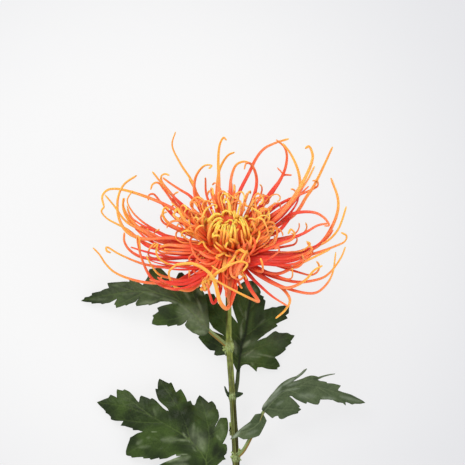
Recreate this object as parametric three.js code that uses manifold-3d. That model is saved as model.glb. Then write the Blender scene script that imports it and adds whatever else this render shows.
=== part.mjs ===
// A cut stem of a spider mum, lying on a table. Millimetres, +Z up, the stem runs along Y towards the flower.
// The origin is under the middle of the whole stem, on the table.
import * as THREE from "three";
import { mergeVertices } from "three/addons/utils/BufferGeometryUtils.js";
import Module from "manifold-3d";

const wasm = await Module();
wasm.setup();

// ---------- driving dimensions ----------

const HEART = new THREE.Vector3(2.8, 60.6, 38); // middle of the flower head, where the rays meet
const FACE_TILT = 42; // degrees that the face is lifted off the line of the stem
const SEAT_GAP = 0.3; // clearance between pieces that sit against each other
const LONG_GIRTH = 0.95; // radius of a long ray at its thickest
const SHORT_GIRTH = 0.85; // radius of a short ray at its thickest
const FLORET_GIRTH = 0.85; // radius of a floret of the centre
const TIP_GIRTH = 0.42; // radius of any ray at its tip
const LYING = 0.35; // height of the middle of a ray that lies on the table
const STEM_GIRTH = 1.75; // radius of the stem under the flower
const CUT_GIRTH = 2.3; // radius of the stem at its cut end
const BLADE_THICKNESS = 0.8;
const FINE_DETAIL = 0.04; // edges finer than this are merged where solids are joined
const DEGREES = Math.PI / 180;

const FACE = new THREE.Vector3(0, Math.cos(FACE_TILT * DEGREES), Math.sin(FACE_TILT * DEGREES));
const FAR = new THREE.Vector3(0, FACE.z, -FACE.y); // across the face, away from the viewer
const ACROSS = new THREE.Vector3(1, 0, 0);

// ---------- small helpers ----------

// Draws the same numbers on every run.
function dice(seed) {
  let state = seed;
  return (low, high) => {
    state = (state * 16807) % 2147483647;
    return low + ((high - low) * state) / 2147483647;
  };
}

// A point given from the heart, in the table's own directions.
function fromHeart([x, y, z]) {
  return new THREE.Vector3(x, y, z).add(HEART);
}

// A point given on the flower: across it, away over it, and up out of its face.
function onFlower(across, far, up) {
  return HEART.clone().addScaledVector(ACROSS, across).addScaledVector(FAR, far).addScaledVector(FACE, up);
}

// A ray that would go through the table bends and lies along it.
function settled(point) {
  const give = 4;
  const depth = Math.max(0, point.z - LYING + give);
  if (point.z < LYING + give) point.z = LYING + (depth * depth) / (4 * give);
  return point;
}

function routeThrough(points) {
  return new THREE.CatmullRomCurve3(points, false, "centripetal");
}

// ---------- solids ----------

function solidOf(geometry) {
  geometry.deleteAttribute("normal");
  geometry.deleteAttribute("uv");
  const merged = mergeVertices(geometry, 1e-4);
  const mesh = new wasm.Mesh({
    numProp: 3,
    vertProperties: new Float32Array(merged.attributes.position.array),
    triVerts: new Uint32Array(merged.index.array),
  });
  return new wasm.Manifold(mesh);
}

// Joins the solids, levels them where they stand on the table, and leaves out any crumb that this sheds.
function joined(solids) {
  const whole = wasm.Manifold.union(solids).trimByPlane([0, 0, 1], 0).simplify(FINE_DETAIL);
  return whole.decompose().sort((a, b) => b.volume() - a.volume())[0];
}

function geometryOf(solid) {
  const { vertProperties, triVerts } = solid.getMesh();
  const geometry = new THREE.BufferGeometry();
  geometry.setAttribute("position", new THREE.BufferAttribute(new Float32Array(vertProperties), 3));
  geometry.setIndex(new THREE.BufferAttribute(new Uint32Array(triVerts), 1));
  geometry.computeVertexNormals();
  return geometry;
}

// A closed bar bent along a route, as thick at each share of its length as girth says.
function bar(route, girth, segments, sides) {
  const geometry = new THREE.CylinderGeometry(1, 1, 1, sides, segments);
  const frames = route.computeFrenetFrames(segments, false);
  const place = geometry.attributes.position;
  for (let i = 0; i < place.count; i++) {
    const step = Math.round((place.getY(i) + 0.5) * segments);
    const radius = girth(step / segments);
    const point = route.getPointAt(step / segments)
      .addScaledVector(frames.binormals[step], place.getX(i) * radius)
      .addScaledVector(frames.normals[step], place.getZ(i) * radius);
    place.setXYZ(i, point.x, point.y, point.z);
  }
  return solidOf(geometry);
}

// A turned body on the flower's own axis, from pairs of radius and height above the heart.
function turned(profile, sides) {
  const lathe = new THREE.LatheGeometry(profile.map(([r, up]) => new THREE.Vector2(r, up)), sides);
  const frame = new THREE.Matrix4().makeBasis(ACROSS, FACE, FAR.clone().negate()).setPosition(HEART);
  return solidOf(lathe.applyMatrix4(frame));
}

// ---------- rays ----------

// Long rays are narrow at the root, full along the middle and fine at the tip.
function rayGirth(full) {
  return (u) => TIP_GIRTH + (full - TIP_GIRTH) * Math.min(1, 0.35 + 3 * u, 2.2 * (1 - u) + 0.12);
}

// Walks out from the root, lifting, swinging and at last curling as it goes. Angles are in degrees:
// azimuth runs round the face from the right, launch is the first slope above the face's plane.
const STRIDES = 26;

function gesture({ azimuth, root, height, launch, length, cup, curl, curlFrom, sway, curlSway }) {
  const points = [];
  let across = root * Math.cos(azimuth * DEGREES);
  let far = root * Math.sin(azimuth * DEGREES);
  let up = height;
  for (let i = 0; i <= STRIDES; i++) {
    points.push(onFlower(across, far, up));
    const u = (i + 0.5) / STRIDES;
    const late = Math.max(0, (u - curlFrom) / (1 - curlFrom));
    const lift = (launch + cup * u + curl * late) * DEGREES;
    const swing = (azimuth + sway * u * u + curlSway * late) * DEGREES;
    const stride = length / STRIDES;
    across += stride * Math.cos(lift) * Math.cos(swing);
    far += stride * Math.cos(lift) * Math.sin(swing);
    up += stride * Math.sin(lift);
  }
  return points;
}

// The long rays that reach past the head, each as the places it passes, in millimetres from the heart:
// across, along the stem's line, and above the heart.
const FAR_RAYS = [
  [[-13.8, 16, -9], [-19.5, 32.7, -14], [-26.4, 43.5, -14], [-30.8, 53.4, -12], [-28.9, 60.7, -9]],
  [[-17.6, 23, -10], [-18, 35, -10], [-13, 42, -5], [-9, 42, -2], [-10.5, 40.3, 0]],
  [[-5.2, 18, -10], [-5, 33, -14], [-5.3, 46, -13], [-4.4, 54, -10], [-2.3, 57.5, -8], [-0.8, 56, -7]],
  [[-6, 18, -14], [-5.8, 33, -19], [-4.3, 41, -20], [0, 47.8, -18], [3.6, 49.5, -16]],
  [[1.1, 26, -13], [2, 36.3, -15], [4.5, 42.4, -13], [8.7, 44.3, -10], [13, 43.2, -8]],
  [[13.8, 23.6, -12], [15.8, 32.5, -14], [15.2, 38, -12], [12.5, 43, -8], [10, 43.2, -5], [9, 40, -3]],
  [[5, 23.9, -12], [11.9, 38.6, -15], [15.8, 46.5, -14], [20, 51.5, -12], [26, 54.5, -9], [33.5, 56.8, -5]],
  [[22.7, 24.9, -14], [28.6, 33.7, -16], [31.6, 40.6, -14], [32.5, 47.5, -12], [31, 52.4, -9], [26.6, 56.3, -6]],
  [[25, 15, -2], [36.3, 23.1, -4], [39.6, 30.2, -5], [38.5, 39.6, -5], [34.5, 48.5, -5], [30.2, 54.2, -4]],
  [[29.6, 16, 2], [39.4, 29.8, 3], [45.3, 41.6, 2], [46.6, 47.5, 1], [44.5, 52.5, 1], [42.4, 51.4, 2]],
  [[36.5, 15, -8], [43.3, 24.9, -9], [47.3, 30.8, -9], [54, 44.5, -8], [57.6, 52.4, -6]],
  [[24.6, 26.7, -20], [28, 32.5, -21], [30.3, 37, -20], [27.2, 41, -18]],
  [[24.2, 28.6, -17], [27.5, 32.8, -18], [30.5, 36.7, -17], [35.2, 36.9, -15]],
  [[26.4, 19.5, -12], [39, 25.8, -13], [45.6, 28.6, -12], [49.5, 31, -10], [49, 33.8, -8], [46.5, 33.6, -7]],
  [[-26.4, 20.9, -10], [-32.3, 27.8, -11], [-36.6, 33.5, -10], [-36.7, 36.3, -8], [-34.5, 37.5, -6], [-32.3, 36.6, -5]],
  [[-20.5, 24.9, -16], [-26.4, 28.8, -17], [-32.3, 32.7, -17], [-36, 35.5, -15]],
  [[-24.8, 15.4, -14], [-35.2, 28.8, -15], [-38.7, 32.7, -13], [-41.6, 31.7, -11], [-42.6, 28.8, -10]],
  [[-26.4, 11, -17], [-37.2, 22, -18], [-41.1, 26.4, -16], [-43.6, 25.8, -14], [-44, 22.9, -13]],
];
const LEFT_RAYS = [
  [[-20, 5, 3], [-29.4, 8.3, 6], [-34.3, 12.1, 8], [-35.8, 16, 10], [-34.3, 19, 11], [-32.2, 17.5, 12]],
  [[-26.4, 16, -4], [-45, 24.9, -4], [-61.8, 29.3, -2], [-66.7, 28.3, 0], [-69.1, 24.9, 2], [-68, 19, 4]],
  [[-30, 2, 6], [-48, 2, 8], [-56, 6.2, 10], [-60, 14, 12], [-60.3, 24, 13], [-57, 31.5, 13], [-50, 36.5, 12]],
  [[-37, 0.5, 0], [-47, 6.2, 0], [-55.9, 11.1, 1], [-62.7, 20, 2], [-67.6, 25.9, 3]],
  [[-43, -1.6, -4], [-55.9, 7.2, -4], [-66.7, 13.1, -3], [-69.6, 17, -1], [-68, 19.3, 1]],
  [[-29.4, 1.8, -6], [-39.2, 6.2, -7], [-47, 11.1, -7], [-52.9, 17, -6], [-55.4, 22.9, -5], [-52.4, 28.3, -2]],
  [[-37.4, 0.3, -12], [-48, 6.2, -12], [-54.9, 12.1, -11], [-57.8, 19, -9], [-57.6, 24.2, -8]],
  [[-42.9, 3.3, -15], [-50, 8.8, -15], [-53.9, 15.1, -14], [-55.7, 20, -13]],
  [[-30, -9, 2], [-47, -8.5, 3], [-53.9, -4.6, 4], [-56.9, 0.3, 6], [-56.9, 5.2, 8]],
  [[-30, -13.5, 4], [-45, -12.4, 5], [-59.8, -6.6, 6], [-66.5, -2.8, 8], [-66.5, -4.8, 10], [-64.3, -6, 10]],
  [[-20.5, -19.3, 6], [-42.1, -22.5, 9], [-60.8, -17.4, 11], [-66.7, -12.4, 13], [-70.6, -6.6, 15], [-74, -3.1, 16]],
  [[-13, -17, 16], [-20.5, -24.2, 18], [-29.4, -25.7, 21], [-41.1, -20.4, 27], [-47.5, -7.5, 34], [-49, 4.2, 38]],
  [[-22, -21, 10], [-33, -19.5, 13], [-38.2, -17.4, 16], [-42.1, -12.4, 18], [-44.6, -7.5, 20]],
  [[-26.4, -13.4, 16], [-37.2, -9.5, 23], [-39.2, -5.5, 25], [-38.5, -1, 26], [-40.7, -3, 27]],
];
const NEAR_RAYS = [
  [[3, -12, 18], [3.5, -24, 30], [-0.5, -36.3, 41], [-4, -33, 46], [-9, -18, 53], [-19, -11.8, 56], [-29, -12.4, 54]],
  [[-12, -16, 14], [-20, -26, 22], [-28, -25, 27], [-31.5, -20.5, 31], [-32, -16, 34], [-28, -12.3, 37]],
  [[-4, -16, 18], [-4.4, -27.2, 27], [-8, -33.5, 32], [-9.8, -29, 35], [-11.5, -22.5, 38]],
  [[6, -12, 20], [12, -25.2, 33], [16.5, -32.3, 41], [13, -31, 44], [-3.9, -22.3, 52], [-8, -19.5, 53]],
  [[-5, -14, 22], [-9, -20, 38], [-8, -18.5, 47], [-2, -14, 50], [7, -10.5, 51], [10.5, -12, 50.5], [8, -16, 50]],
  [[-8, -14, 18], [-13, -24, 28], [-14.5, -26, 32], [-10.5, -25, 34], [-11, -21, 35], [-13.5, -22, 35]],
];
const RIGHT_RAYS = [
  [[26.4, -6, 0], [41.3, -5.5, 0], [51.2, -0.5, 2], [59.5, 14.1, 5], [60.5, 23.1, 5], [56.6, 35.2, 3]],
  [[25, -8, 4], [40, -5, 5], [54, 0.3, 7], [60, 6.2, 9], [63, 13.1, 10], [64.9, 19.5, 11]],
  [[24, 6.5, -4], [34.5, 15.1, -2], [47.3, 16.2, 2], [53, 13.2, 4], [55.5, 9.2, 6], [53, 8.8, 8]],
  [[20, -2, 8], [32.5, 1.3, 11], [42.4, 5.2, 13], [49.2, 9.1, 14], [55, 10.2, 14]],
  [[18, -5, 14], [29.6, -0.7, 20], [35, 1.5, 22], [36.5, 4.5, 24], [34.5, 6.9, 25], [32.9, 4.4, 26]],
  [[24, -11, 4], [40, -8.5, 6], [58, -2.6, 10], [64, 0.3, 12], [65, 3.3, 14], [62, 5.2, 16]],
  [[22, -6, 10], [34, -5.5, 12], [41, -4.6, 13], [45, -1, 14], [43, 0.3, 15]],
  [[22, -9.8, 10], [34, -9.6, 12.5], [42, -7.8, 14], [46, -4, 16], [45, -2, 17]],
  [[12, -13, 20], [21.7, -9.5, 26], [28, -4.6, 29], [27.3, -2.8, 30], [25.5, -4, 31]],
  [[12.9, -12.4, 10], [20.7, -16.4, 13], [27.5, -17.4, 14], [40.4, -11.5, 16], [56, -4, 18]],
  [[16, -15.5, 6], [36.3, -21.8, 9], [46.2, -21.3, 10], [54.1, -18.4, 11], [62, -8.5, 14], [64.4, -2.6, 15]],
  [[18, -18, 10], [31.6, -25.2, 14], [47.3, -28, 17], [53.1, -24.2, 18], [57.1, -17.4, 20], [59, -5.5, 22]],
  [[15, -17, 12], [31, -25, 17], [36.3, -24.2, 18], [42.4, -20.8, 20], [47.3, -15.4, 22], [51.7, -12.9, 23]],
  [[10.9, -17.4, 14], [17.8, -24.2, 17], [24.7, -30.1, 19], [32.5, -35, 21]],
  [[18.7, -18.7, 8], [30.6, -26.2, 12], [34, -32.1, 14], [31.6, -37, 15], [26.1, -41.9, 16]],
];
// Two rays under the far side reach the table, and the head rests on them.
const RESTING_RAYS = [
  [[-17, 14, -17], [-26.4, 21.5, -27], [-33, 28, -36], [-38, 34, -42], [-42, 39, -42]],
  [[20, 12, -15], [31, 19.5, -26], [39, 27, -36], [44.5, 35, -42], [48, 42, -42]],
];
const LONG_CORE_HEIGHT = -4.6; // of the middle of the disc that the long rays grow from
const ROOT_DEPTH = 6; // distance from the axis at which a ray's root is buried

// A ray through stated places, its root sunk in the core on the side it leaves from.
function statedRay(places) {
  const first = new THREE.Vector3(...places[0]);
  const across = first.dot(ACROSS);
  const far = first.dot(FAR);
  const share = ROOT_DEPTH / Math.hypot(across, far);
  const root = onFlower(across * share, far * share, LONG_CORE_HEIGHT);
  return [root, ...places.map(fromHeart)];
}

// The rest of the long rays fill the head all round, in two tiers.
function fillingRays() {
  const draw = dice(11);
  const rays = [];
  const tiers = [
    { count: 17, launch: -16, length: 52, start: 4 },
    { count: 15, launch: 4, length: 47, start: 15 },
  ];
  for (const { count, launch, length, start } of tiers) {
    for (let k = 0; k < count; k++) {
      rays.push(gesture({
        azimuth: start + (360 * k) / count + draw(-4, 4),
        root: ROOT_DEPTH,
        height: LONG_CORE_HEIGHT,
        launch: launch + draw(-5, 5),
        length: length * draw(0.85, 1.12),
        cup: draw(10, 45),
        curl: draw(30, 150),
        curlFrom: 0.72,
        sway: draw(-18, 18),
        curlSway: draw(-50, 50),
      }));
    }
  }
  return rays;
}

function longRays() {
  const stated = [...FAR_RAYS, ...LEFT_RAYS, ...NEAR_RAYS, ...RIGHT_RAYS, ...RESTING_RAYS].map(statedRay);
  return [...stated, ...fillingRays()].map((ray) => ray.map(settled));
}

// Short rays stand round the centre in three rings, and curl over at the tip. One that finds no free place
// is left out.
const SHORT_RINGS = [
  { count: 22, root: 9, height: 0.8, launch: 41, length: 31, start: 0 },
  { count: 20, root: 9, height: 1.7, launch: 50, length: 27, start: 8 },
  { count: 16, root: 9, height: 2.1, launch: 57, length: 22, start: 3 },
];
const SIDESTEPS = [0, 3, -3, 6, -6, 9, -9]; // degrees, tried in turn where another ray is in the way

// True where no point of a ray comes within reach of another ray.
function isClear(ray, others, reach) {
  return others.every((other) => other.every((place) => ray.every((point) => point.distanceTo(place) > reach)));
}

function shortRays(longOnes, florets) {
  const draw = dice(29);
  const rays = [];
  const outside = longOnes.map((ray) => routeThrough(ray).getPoints(60));
  const inside = florets.map((ray) => routeThrough(ray).getPoints(30));
  for (const { count, root, height, launch, length, start } of SHORT_RINGS) {
    for (let k = 0; k < count; k++) {
      const inward = draw(0, 1) < 0.35;
      const shape = {
        azimuth: start + (360 * k) / count + draw(-5, 5),
        root,
        height,
        launch: launch + draw(-2, 5),
        length: length * draw(0.82, 1.12),
        cup: draw(-8, 12),
        curl: inward ? draw(150, 230) : draw(-210, -120),
        curlFrom: 0.62,
        sway: draw(-14, 14),
        curlSway: draw(-60, 60),
      };
      const tries = SIDESTEPS.map((step) => gesture({ ...shape, azimuth: shape.azimuth + step }));
      const ray = tries.find((one) => isClear(one, outside, LONG_GIRTH + SHORT_GIRTH + SEAT_GAP)
        && isClear(one.slice(3), inside, FLORET_GIRTH + SHORT_GIRTH));
      if (ray) rays.push(ray);
    }
  }
  return rays;
}

// The centre's florets bulge out of the middle and close over it.
const FLORET_RINGS = [
  { count: 20, root: 8.3, height: 4.2, launch: 50, length: 16.5, turn: 118, start: 0 },
  { count: 12, root: 6, height: 6, launch: 62, length: 12, turn: 118, start: 9 },
];

function centreFlorets() {
  const draw = dice(53);
  const florets = [];
  for (const { count, root, height, launch, length, turn, start } of FLORET_RINGS) {
    for (let k = 0; k < count; k++) {
      florets.push(gesture({
        azimuth: start + (360 * k) / count + draw(-4, 4),
        root,
        height,
        launch: launch + draw(-4, 4),
        length: length * draw(0.9, 1.08),
        cup: turn,
        curl: draw(0, 40),
        curlFrom: 0.8,
        sway: draw(-12, 12),
        curlSway: 0,
      }));
    }
  }
  return florets;
}

// ---------- the head ----------

const LONG_CORE = [[0, -7.4], [4, -7.3], [7, -6], [7.6, -4.6], [6.4, -3.1], [0, -2.4]];
const SHORT_CORE = [[0, -1.2], [7, -1.1], [9.8, 0.2], [10, 1.6], [8.6, 2.9], [0, 2.9]];
const CENTRE_CORE = [[0, 3.3], [7.4, 3.3], [8.6, 5.6], [7.8, 9.4], [4.6, 12.2], [0, 13]];

// A turned core with its rays, each bent at about every stride along it.
function rayHead(core, rays, full, stride) {
  const bars = rays.map((ray) => {
    const route = routeThrough(ray);
    return bar(route, rayGirth(full), Math.round(route.getLength() / stride), 3);
  });
  return joined([turned(core, 12), ...bars]);
}

// The green cup under the head, with its overlapping bracts.
function calyx() {
  const cup = turned([[0, -16], [2.2, -16], [3.4, -14.5], [6, -11.6], [7.6, -9.2], [7, -7.9], [0, -7.7]], 12);
  const bracts = [];
  const rows = [
    { count: 8, root: 3.6, height: -13.4, launch: 40, length: 7 },
    { count: 8, root: 5.6, height: -11.2, launch: 44, length: 5.4 },
  ];
  for (const { count, root, height, launch, length } of rows) {
    for (let k = 0; k < count; k++) {
      const route = routeThrough(gesture({
        azimuth: (360 * (k + height)) / count,
        root,
        height,
        launch,
        length,
        cup: -14,
        curl: 0,
        curlFrom: 0.9,
        sway: 0,
        curlSway: 0,
      }));
      bracts.push(bar(route, (u) => 0.3 + 1.2 * Math.sin(Math.PI * (0.2 + 0.75 * u)), 2, 3));
    }
  }
  return joined([cup, ...bracts]);
}

// ---------- the stem ----------

const STEM_PLACES = [[0, -12.6, -11.2], [0, -17, -15.4], [0.1, -23, -18.6], [0.3, -32, -20.4], [0.6, -57, -23.4],
  [2.2, -81, -26], [3.8, -109, -29.2], [4.6, -128, -31.8], [4.4, -152, -34.6], [3.7, -170, -36], [3.2, -182, -36]];
const STEM_ROUTE = routeThrough(STEM_PLACES.map(fromHeart));

function stemGirth(u) {
  return STEM_GIRTH + (CUT_GIRTH - STEM_GIRTH) * u;
}

// Knuckles where the leaves leave the stem and at a bud scar, and three small stipules at one of them.
const KNUCKLES = [
  { place: [0.6, -58, -23.5], along: 3.4, around: 2.7 },
  { place: [2.5, -85, -26.6], along: 3, around: 2.6 },
  { place: [3.1, -104.4, -28.6], along: 2, around: 2.4 },
  { place: [4.2, -119.4, -30.6], along: 3.4, around: 3 },
  { place: [4.6, -138, -32.9], along: 3.2, around: 2.9 },
];
const STIPULES = [
  [[1.5, -85.6, -25.8], [-1.6, -84.4, -24.2], [-3.4, -81.4, -22.8]],
  [[2.5, -85.4, -25.6], [6, -84.6, -24.8], [9.2, -84.2, -25]],
  [[1.5, -86, -26], [-1.4, -86.2, -24.8], [-3, -85.4, -24.6]],
];

// The stem with its knuckles and stipules, all of it thicker by grown.
function stem(grown) {
  const shoot = bar(STEM_ROUTE, (u) => stemGirth(u) + grown, 14, 8);
  const knuckles = KNUCKLES.map(({ place, along, around }) => {
    const ball = new THREE.SphereGeometry(1, 6, 4);
    ball.scale(around + grown, along + grown, around + grown).translate(...fromHeart(place).toArray());
    return solidOf(ball);
  });
  const stipules = STIPULES.map((places) => {
    const girth = (u) => grown + 0.35 + 1.1 * Math.sin(Math.PI * (0.3 + 0.66 * u));
    return bar(routeThrough(places.map(fromHeart)), girth, 3, 3);
  });
  return joined([shoot, ...knuckles, ...stipules]);
}

// ---------- leaves ----------

// Every leaf is given from the heart: its stalk and midrib as places, and the edge of its left and right
// half from the base to the tip as places on the table, past the tip of every lobe and tooth and the
// bottom of every cut between them. A half rises or falls by tilt for each millimetre away from the midrib,
// and bends down by droop.
const LEAVES = {
  leaf_upper_left: {
    stalk: [[-0.4, -57.6, -22.6], [-4.5, -54, -21.2]],
    midrib: [[-10.4, -49, -19.6], [-16.1, -42.7, -18], [-21.5, -37.1, -17], [-27.9, -32.2, -16.6], [-34, -29.7, -17],
      [-42.1, -27.8, -18.2], [-53, -27.3, -21], [-61.5, -28.7, -24.4], [-69.6, -29.9, -28.6], [-81.4, -32.7, -35.6]],
    right: { tilt: -0.12, droop: 0.008, edge: [[-10.2, -46.5], [-10.8, -40.3], [-11.6, -33.7], [-13.2, -28.4],
      [-15.1, -25.1], [-19.8, -20.9], [-23.7, -18.5], [-25.5, -16.8], [-27.2, -17.1], [-29.2, -21], [-31.4, -25],
      [-33, -18.7], [-37.4, -14.3], [-43.5, -15.2], [-44.4, -19.5], [-47, -23.8], [-50.6, -21.8], [-54, -20.4],
      [-54.8, -22.1], [-60.6, -22.3], [-66.7, -23], [-66, -24.9], [-68.6, -26.1], [-75, -28.4], [-79.3, -30.8]] },
    left: { tilt: -0.3, droop: 0.01, edge: [[-12.8, -51.6], [-17, -51.2], [-21.7, -47.4], [-23.7, -45],
      [-21.6, -41.6], [-27, -46.1], [-32.2, -46.5], [-36.8, -45], [-41.6, -45], [-41.4, -40.8], [-38.3, -38], [-38.8, -36.7],
      [-35.5, -35.1], [-31.4, -33.7], [-36.4, -33], [-44.9, -35], [-50.4, -35.2], [-50.9, -33.7], [-48.4, -30.4],
      [-51.3, -32.9], [-57.8, -34.9], [-61.8, -36.1], [-62.7, -34.4], [-61.8, -32], [-64.8, -33.2], [-70.3, -34.4],
      [-75.2, -34]] },
  },
  leaf_upper_right: {
    stalk: [[3.9, -84.4, -28.4], [5.1, -78, -30.6]],
    midrib: [[5.6, -72.6, -31.4], [6.4, -65.6, -31.8], [7.8, -57.1, -31.8], [9.7, -50.2, -31.4], [11.2, -38.6, -30.2],
      [12.4, -31.9, -29.4], [13.8, -21.5, -28.6]],
    right: { tilt: -0.05, droop: 0.006, edge: [[7, -69.4], [10.1, -67.9], [13.1, -69.4], [15.7, -71.9], [16.4, -69.4],
      [23.2, -70.2], [27.2, -70.8], [29, -69], [27.8, -65.9], [26.3, -63.9], [32.1, -59], [35.1, -55.9], [36.9, -51.7],
      [32.8, -50.3], [27.8, -50.8], [26.5, -50.2], [20.5, -53.4], [15.5, -54.8], [19.8, -51], [27.4, -46.3],
      [26.8, -45.5], [33.1, -42], [32.5, -40.9], [33.6, -39.3], [34.4, -35.1], [29, -35.9], [25.1, -36.2],
      [19.6, -37.6], [20.7, -32.4], [19.9, -30.5], [18.2, -27.8], [16.5, -24.2]] },
    left: { tilt: -0.04, droop: 0.004, edge: [[4.4, -70.5], [2.4, -66], [0.5, -63.3], [-1.5, -62.5], [-6.2, -63.1],
      [-7.7, -62.5], [-7.1, -60.4], [-10, -60], [-13.1, -57.1], [-16.5, -52.8], [-13.2, -49.4], [-8.3, -49.6],
      [-2.1, -52], [-8.1, -47.8], [-10.4, -44], [-13.8, -36.3], [-12.7, -28.9], [-7.7, -28.9], [-5.4, -34.3],
      [-1.4, -36.9], [5.4, -45], [2.5, -35.8], [1.9, -30.8], [4.4, -25.3], [8.8, -22]] },
  },
  leaf_lower_left: {
    stalk: [[3.8, -138.4, -32.2], [-3, -133.6, -30.2]],
    midrib: [[-11, -127.6, -28.6], [-12.8, -120.3, -27.6], [-21.8, -109, -25.6], [-30.8, -103.1, -25.2],
      [-38, -98.9, -25.8], [-45.7, -95, -27], [-57.5, -91.1, -30], [-72.6, -88.9, -35.6]],
    right: { tilt: -0.08, droop: 0.006, edge: [[-4.5, -122.7], [-1.2, -120.9], [-2.1, -118.6], [-0.5, -116.2],
      [-0.6, -112.6], [-4.5, -113.2], [-1.2, -107.9], [0, -101.9], [-0.6, -97.4], [-3.3, -97.4], [-7.2, -103.6],
      [-5.7, -100.1], [-5.1, -95.9], [-8.6, -88.4], [-9.8, -88.8], [-15.8, -85.2], [-19.1, -90.3], [-22.4, -88.2],
      [-24.1, -84], [-26.2, -81.6], [-28.9, -82.8], [-31, -78.3], [-38.6, -76], [-38.9, -81], [-40.2, -81.6],
      [-38, -87.3], [-33.2, -94.4], [-38.2, -89.8], [-42.6, -86.8], [-48.3, -85.2], [-49.3, -88.3], [-52.8, -84.6],
      [-57.5, -82], [-61.6, -82], [-61.7, -85.9], [-65.2, -85.2]] },
    left: { tilt: -0.16, droop: 0.006, edge: [[-17.6, -130.9], [-26.4, -133.1], [-35.8, -132], [-41.8, -128.7],
      [-36.4, -122.7], [-28.2, -117.6], [-37.9, -119.5], [-43.2, -120.2], [-46.8, -118.9], [-53.1, -119.3],
      [-56.4, -117.9], [-54.9, -112], [-51.6, -106.6], [-46, -104.9], [-52.2, -104], [-59.2, -101.3], [-58.5, -99],
      [-64.7, -98.3], [-67.4, -94.1]] },
  },
  leaf_lower_right: {
    stalk: [[4.4, -119.4, -30.2], [8.1, -116, -28], [12.2, -108.9, -25], [16.5, -100, -21.6]],
    midrib: [[19.8, -93.6, -19.4], [25.9, -86.9, -16.8], [33, -81.4, -15], [42.4, -79.2, -14.4], [53.4, -80.9, -16.4],
      [64.4, -84.7, -20.4], [75.9, -88.9, -26]],
    left: { tilt: 0.9, droop: 0, edge: [[18.7, -92.6], [20.9, -88], [24.2, -84], [28.3, -79.6], [32.5, -76.3],
      [37.8, -73.9], [40.7, -71.8], [43.5, -69.8], [41.9, -73], [39.3, -75.6], [45.5, -73.9], [49.7, -74.1],
      [54.6, -73.2], [59, -72.7], [54.3, -74.9], [50.4, -76.6], [54.5, -77.3], [61.7, -79.1], [60.4, -81.8],
      [67.6, -84.4]] },
    right: { tilt: -0.45, droop: 0.004, edge: [[21.1, -94.9], [24.4, -97.1], [27.7, -96.4], [29.8, -97.8], [37.8, -94.6],
      [40.2, -93.1], [39.3, -90.4], [33.2, -84.6], [37.8, -87.1], [42.8, -89], [43.8, -88.4], [46.8, -89.8],
      [50, -89.5], [51.2, -87.1], [55.7, -87.1], [64.6, -90.1], [65.2, -88.6], [68.2, -89.5]] },
  },
};
// A small lobe apart from the rest of the lower right leaf, low on its stalk. Its tip crosses over the stem.
const LOW_LOBE = {
  midrib: [[19.2, -94.8, -20.2], [17, -100, -20.8], [12.5, -103.5, -21.6], [7.6, -105.4, -22.8], [1.1, -109.2, -24.4]],
  left: { tilt: -0.1, droop: 0, edge: [[15.1, -95.2], [12.2, -99.3], [7.4, -102.9], [4.2, -105.8]] },
  right: { tilt: 0.1, droop: 0, edge: [[21.4, -98.8], [19.3, -103.5], [17.2, -107.1], [12.8, -108.6], [8.6, -109.2],
    [6, -107.8]] },
};
const STALK_GIRTH = 1.1;

// The height of a leaf half at a place on the table.
function heightOver([x, y], midrib, { tilt, droop }) {
  const near = midrib.reduce((best, point) => {
    const away = Math.hypot(point.x - x, point.y - y);
    return away < best.away ? { away, z: point.z } : best;
  }, { away: Infinity, z: 0 });
  return Math.max(near.z + tilt * near.away - droop * near.away ** 2, BLADE_THICKNESS / 2);
}

// Gives a sheet its thickness, with the same triangles on both faces and a rim round the edge.
function shell(points, triangles) {
  const normals = points.map(() => new THREE.Vector3());
  const sides = new Map();
  for (const corners of triangles) {
    const [a, b, c] = corners.map((i) => points[i]);
    const face = b.clone().sub(a).cross(c.clone().sub(a));
    corners.forEach((i, k) => {
      normals[i].add(face);
      sides.set(`${i} ${corners[(k + 1) % 3]}`, [i, corners[(k + 1) % 3]]);
    });
  }
  const count = points.length;
  const both = [0.5, -0.5].flatMap((share) => points.map((point, i) => (
    point.clone().addScaledVector(normals[i].clone().normalize(), share * BLADE_THICKNESS)
  )));
  const faces = [];
  for (const [a, b, c] of triangles) faces.push(a, b, c, a + count, c + count, b + count);
  for (const [here, next] of sides.values()) {
    if (sides.has(`${next} ${here}`)) continue;
    faces.push(next, here, here + count, next, here + count, next + count);
  }
  const geometry = new THREE.BufferGeometry();
  geometry.setAttribute("position", new THREE.Float32BufferAttribute(both.flatMap((p) => p.toArray()), 3));
  geometry.setIndex(faces);
  return solidOf(geometry);
}

// A blade made of two halves that meet along the midrib.
function blade(midrib, halves) {
  const fine = routeThrough(midrib).getPoints(60);
  const points = [...midrib];
  const triangles = [];
  for (const half of halves) {
    const rim = half.edge.map(([x, y]) => [x + HEART.x, y + HEART.y]);
    const first = points.length;
    rim.forEach((place) => points.push(new THREE.Vector3(...place, heightOver(place, fine, half))));
    const ring = [...midrib.keys(), ...rim.keys().map((i) => first + rim.length - 1 - i)];
    const outline = ring.map((i) => new THREE.Vector2(points[i].x, points[i].y));
    for (const corners of THREE.ShapeUtils.triangulateShape(outline, [])) {
      const [a, b, c] = corners.map((i) => ring[i]);
      const area = (points[b].x - points[a].x) * (points[c].y - points[a].y)
        - (points[b].y - points[a].y) * (points[c].x - points[a].x);
      triangles.push(area > 0 ? [a, b, c] : [a, c, b]);
    }
  }
  return shell(points, triangles);
}

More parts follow.
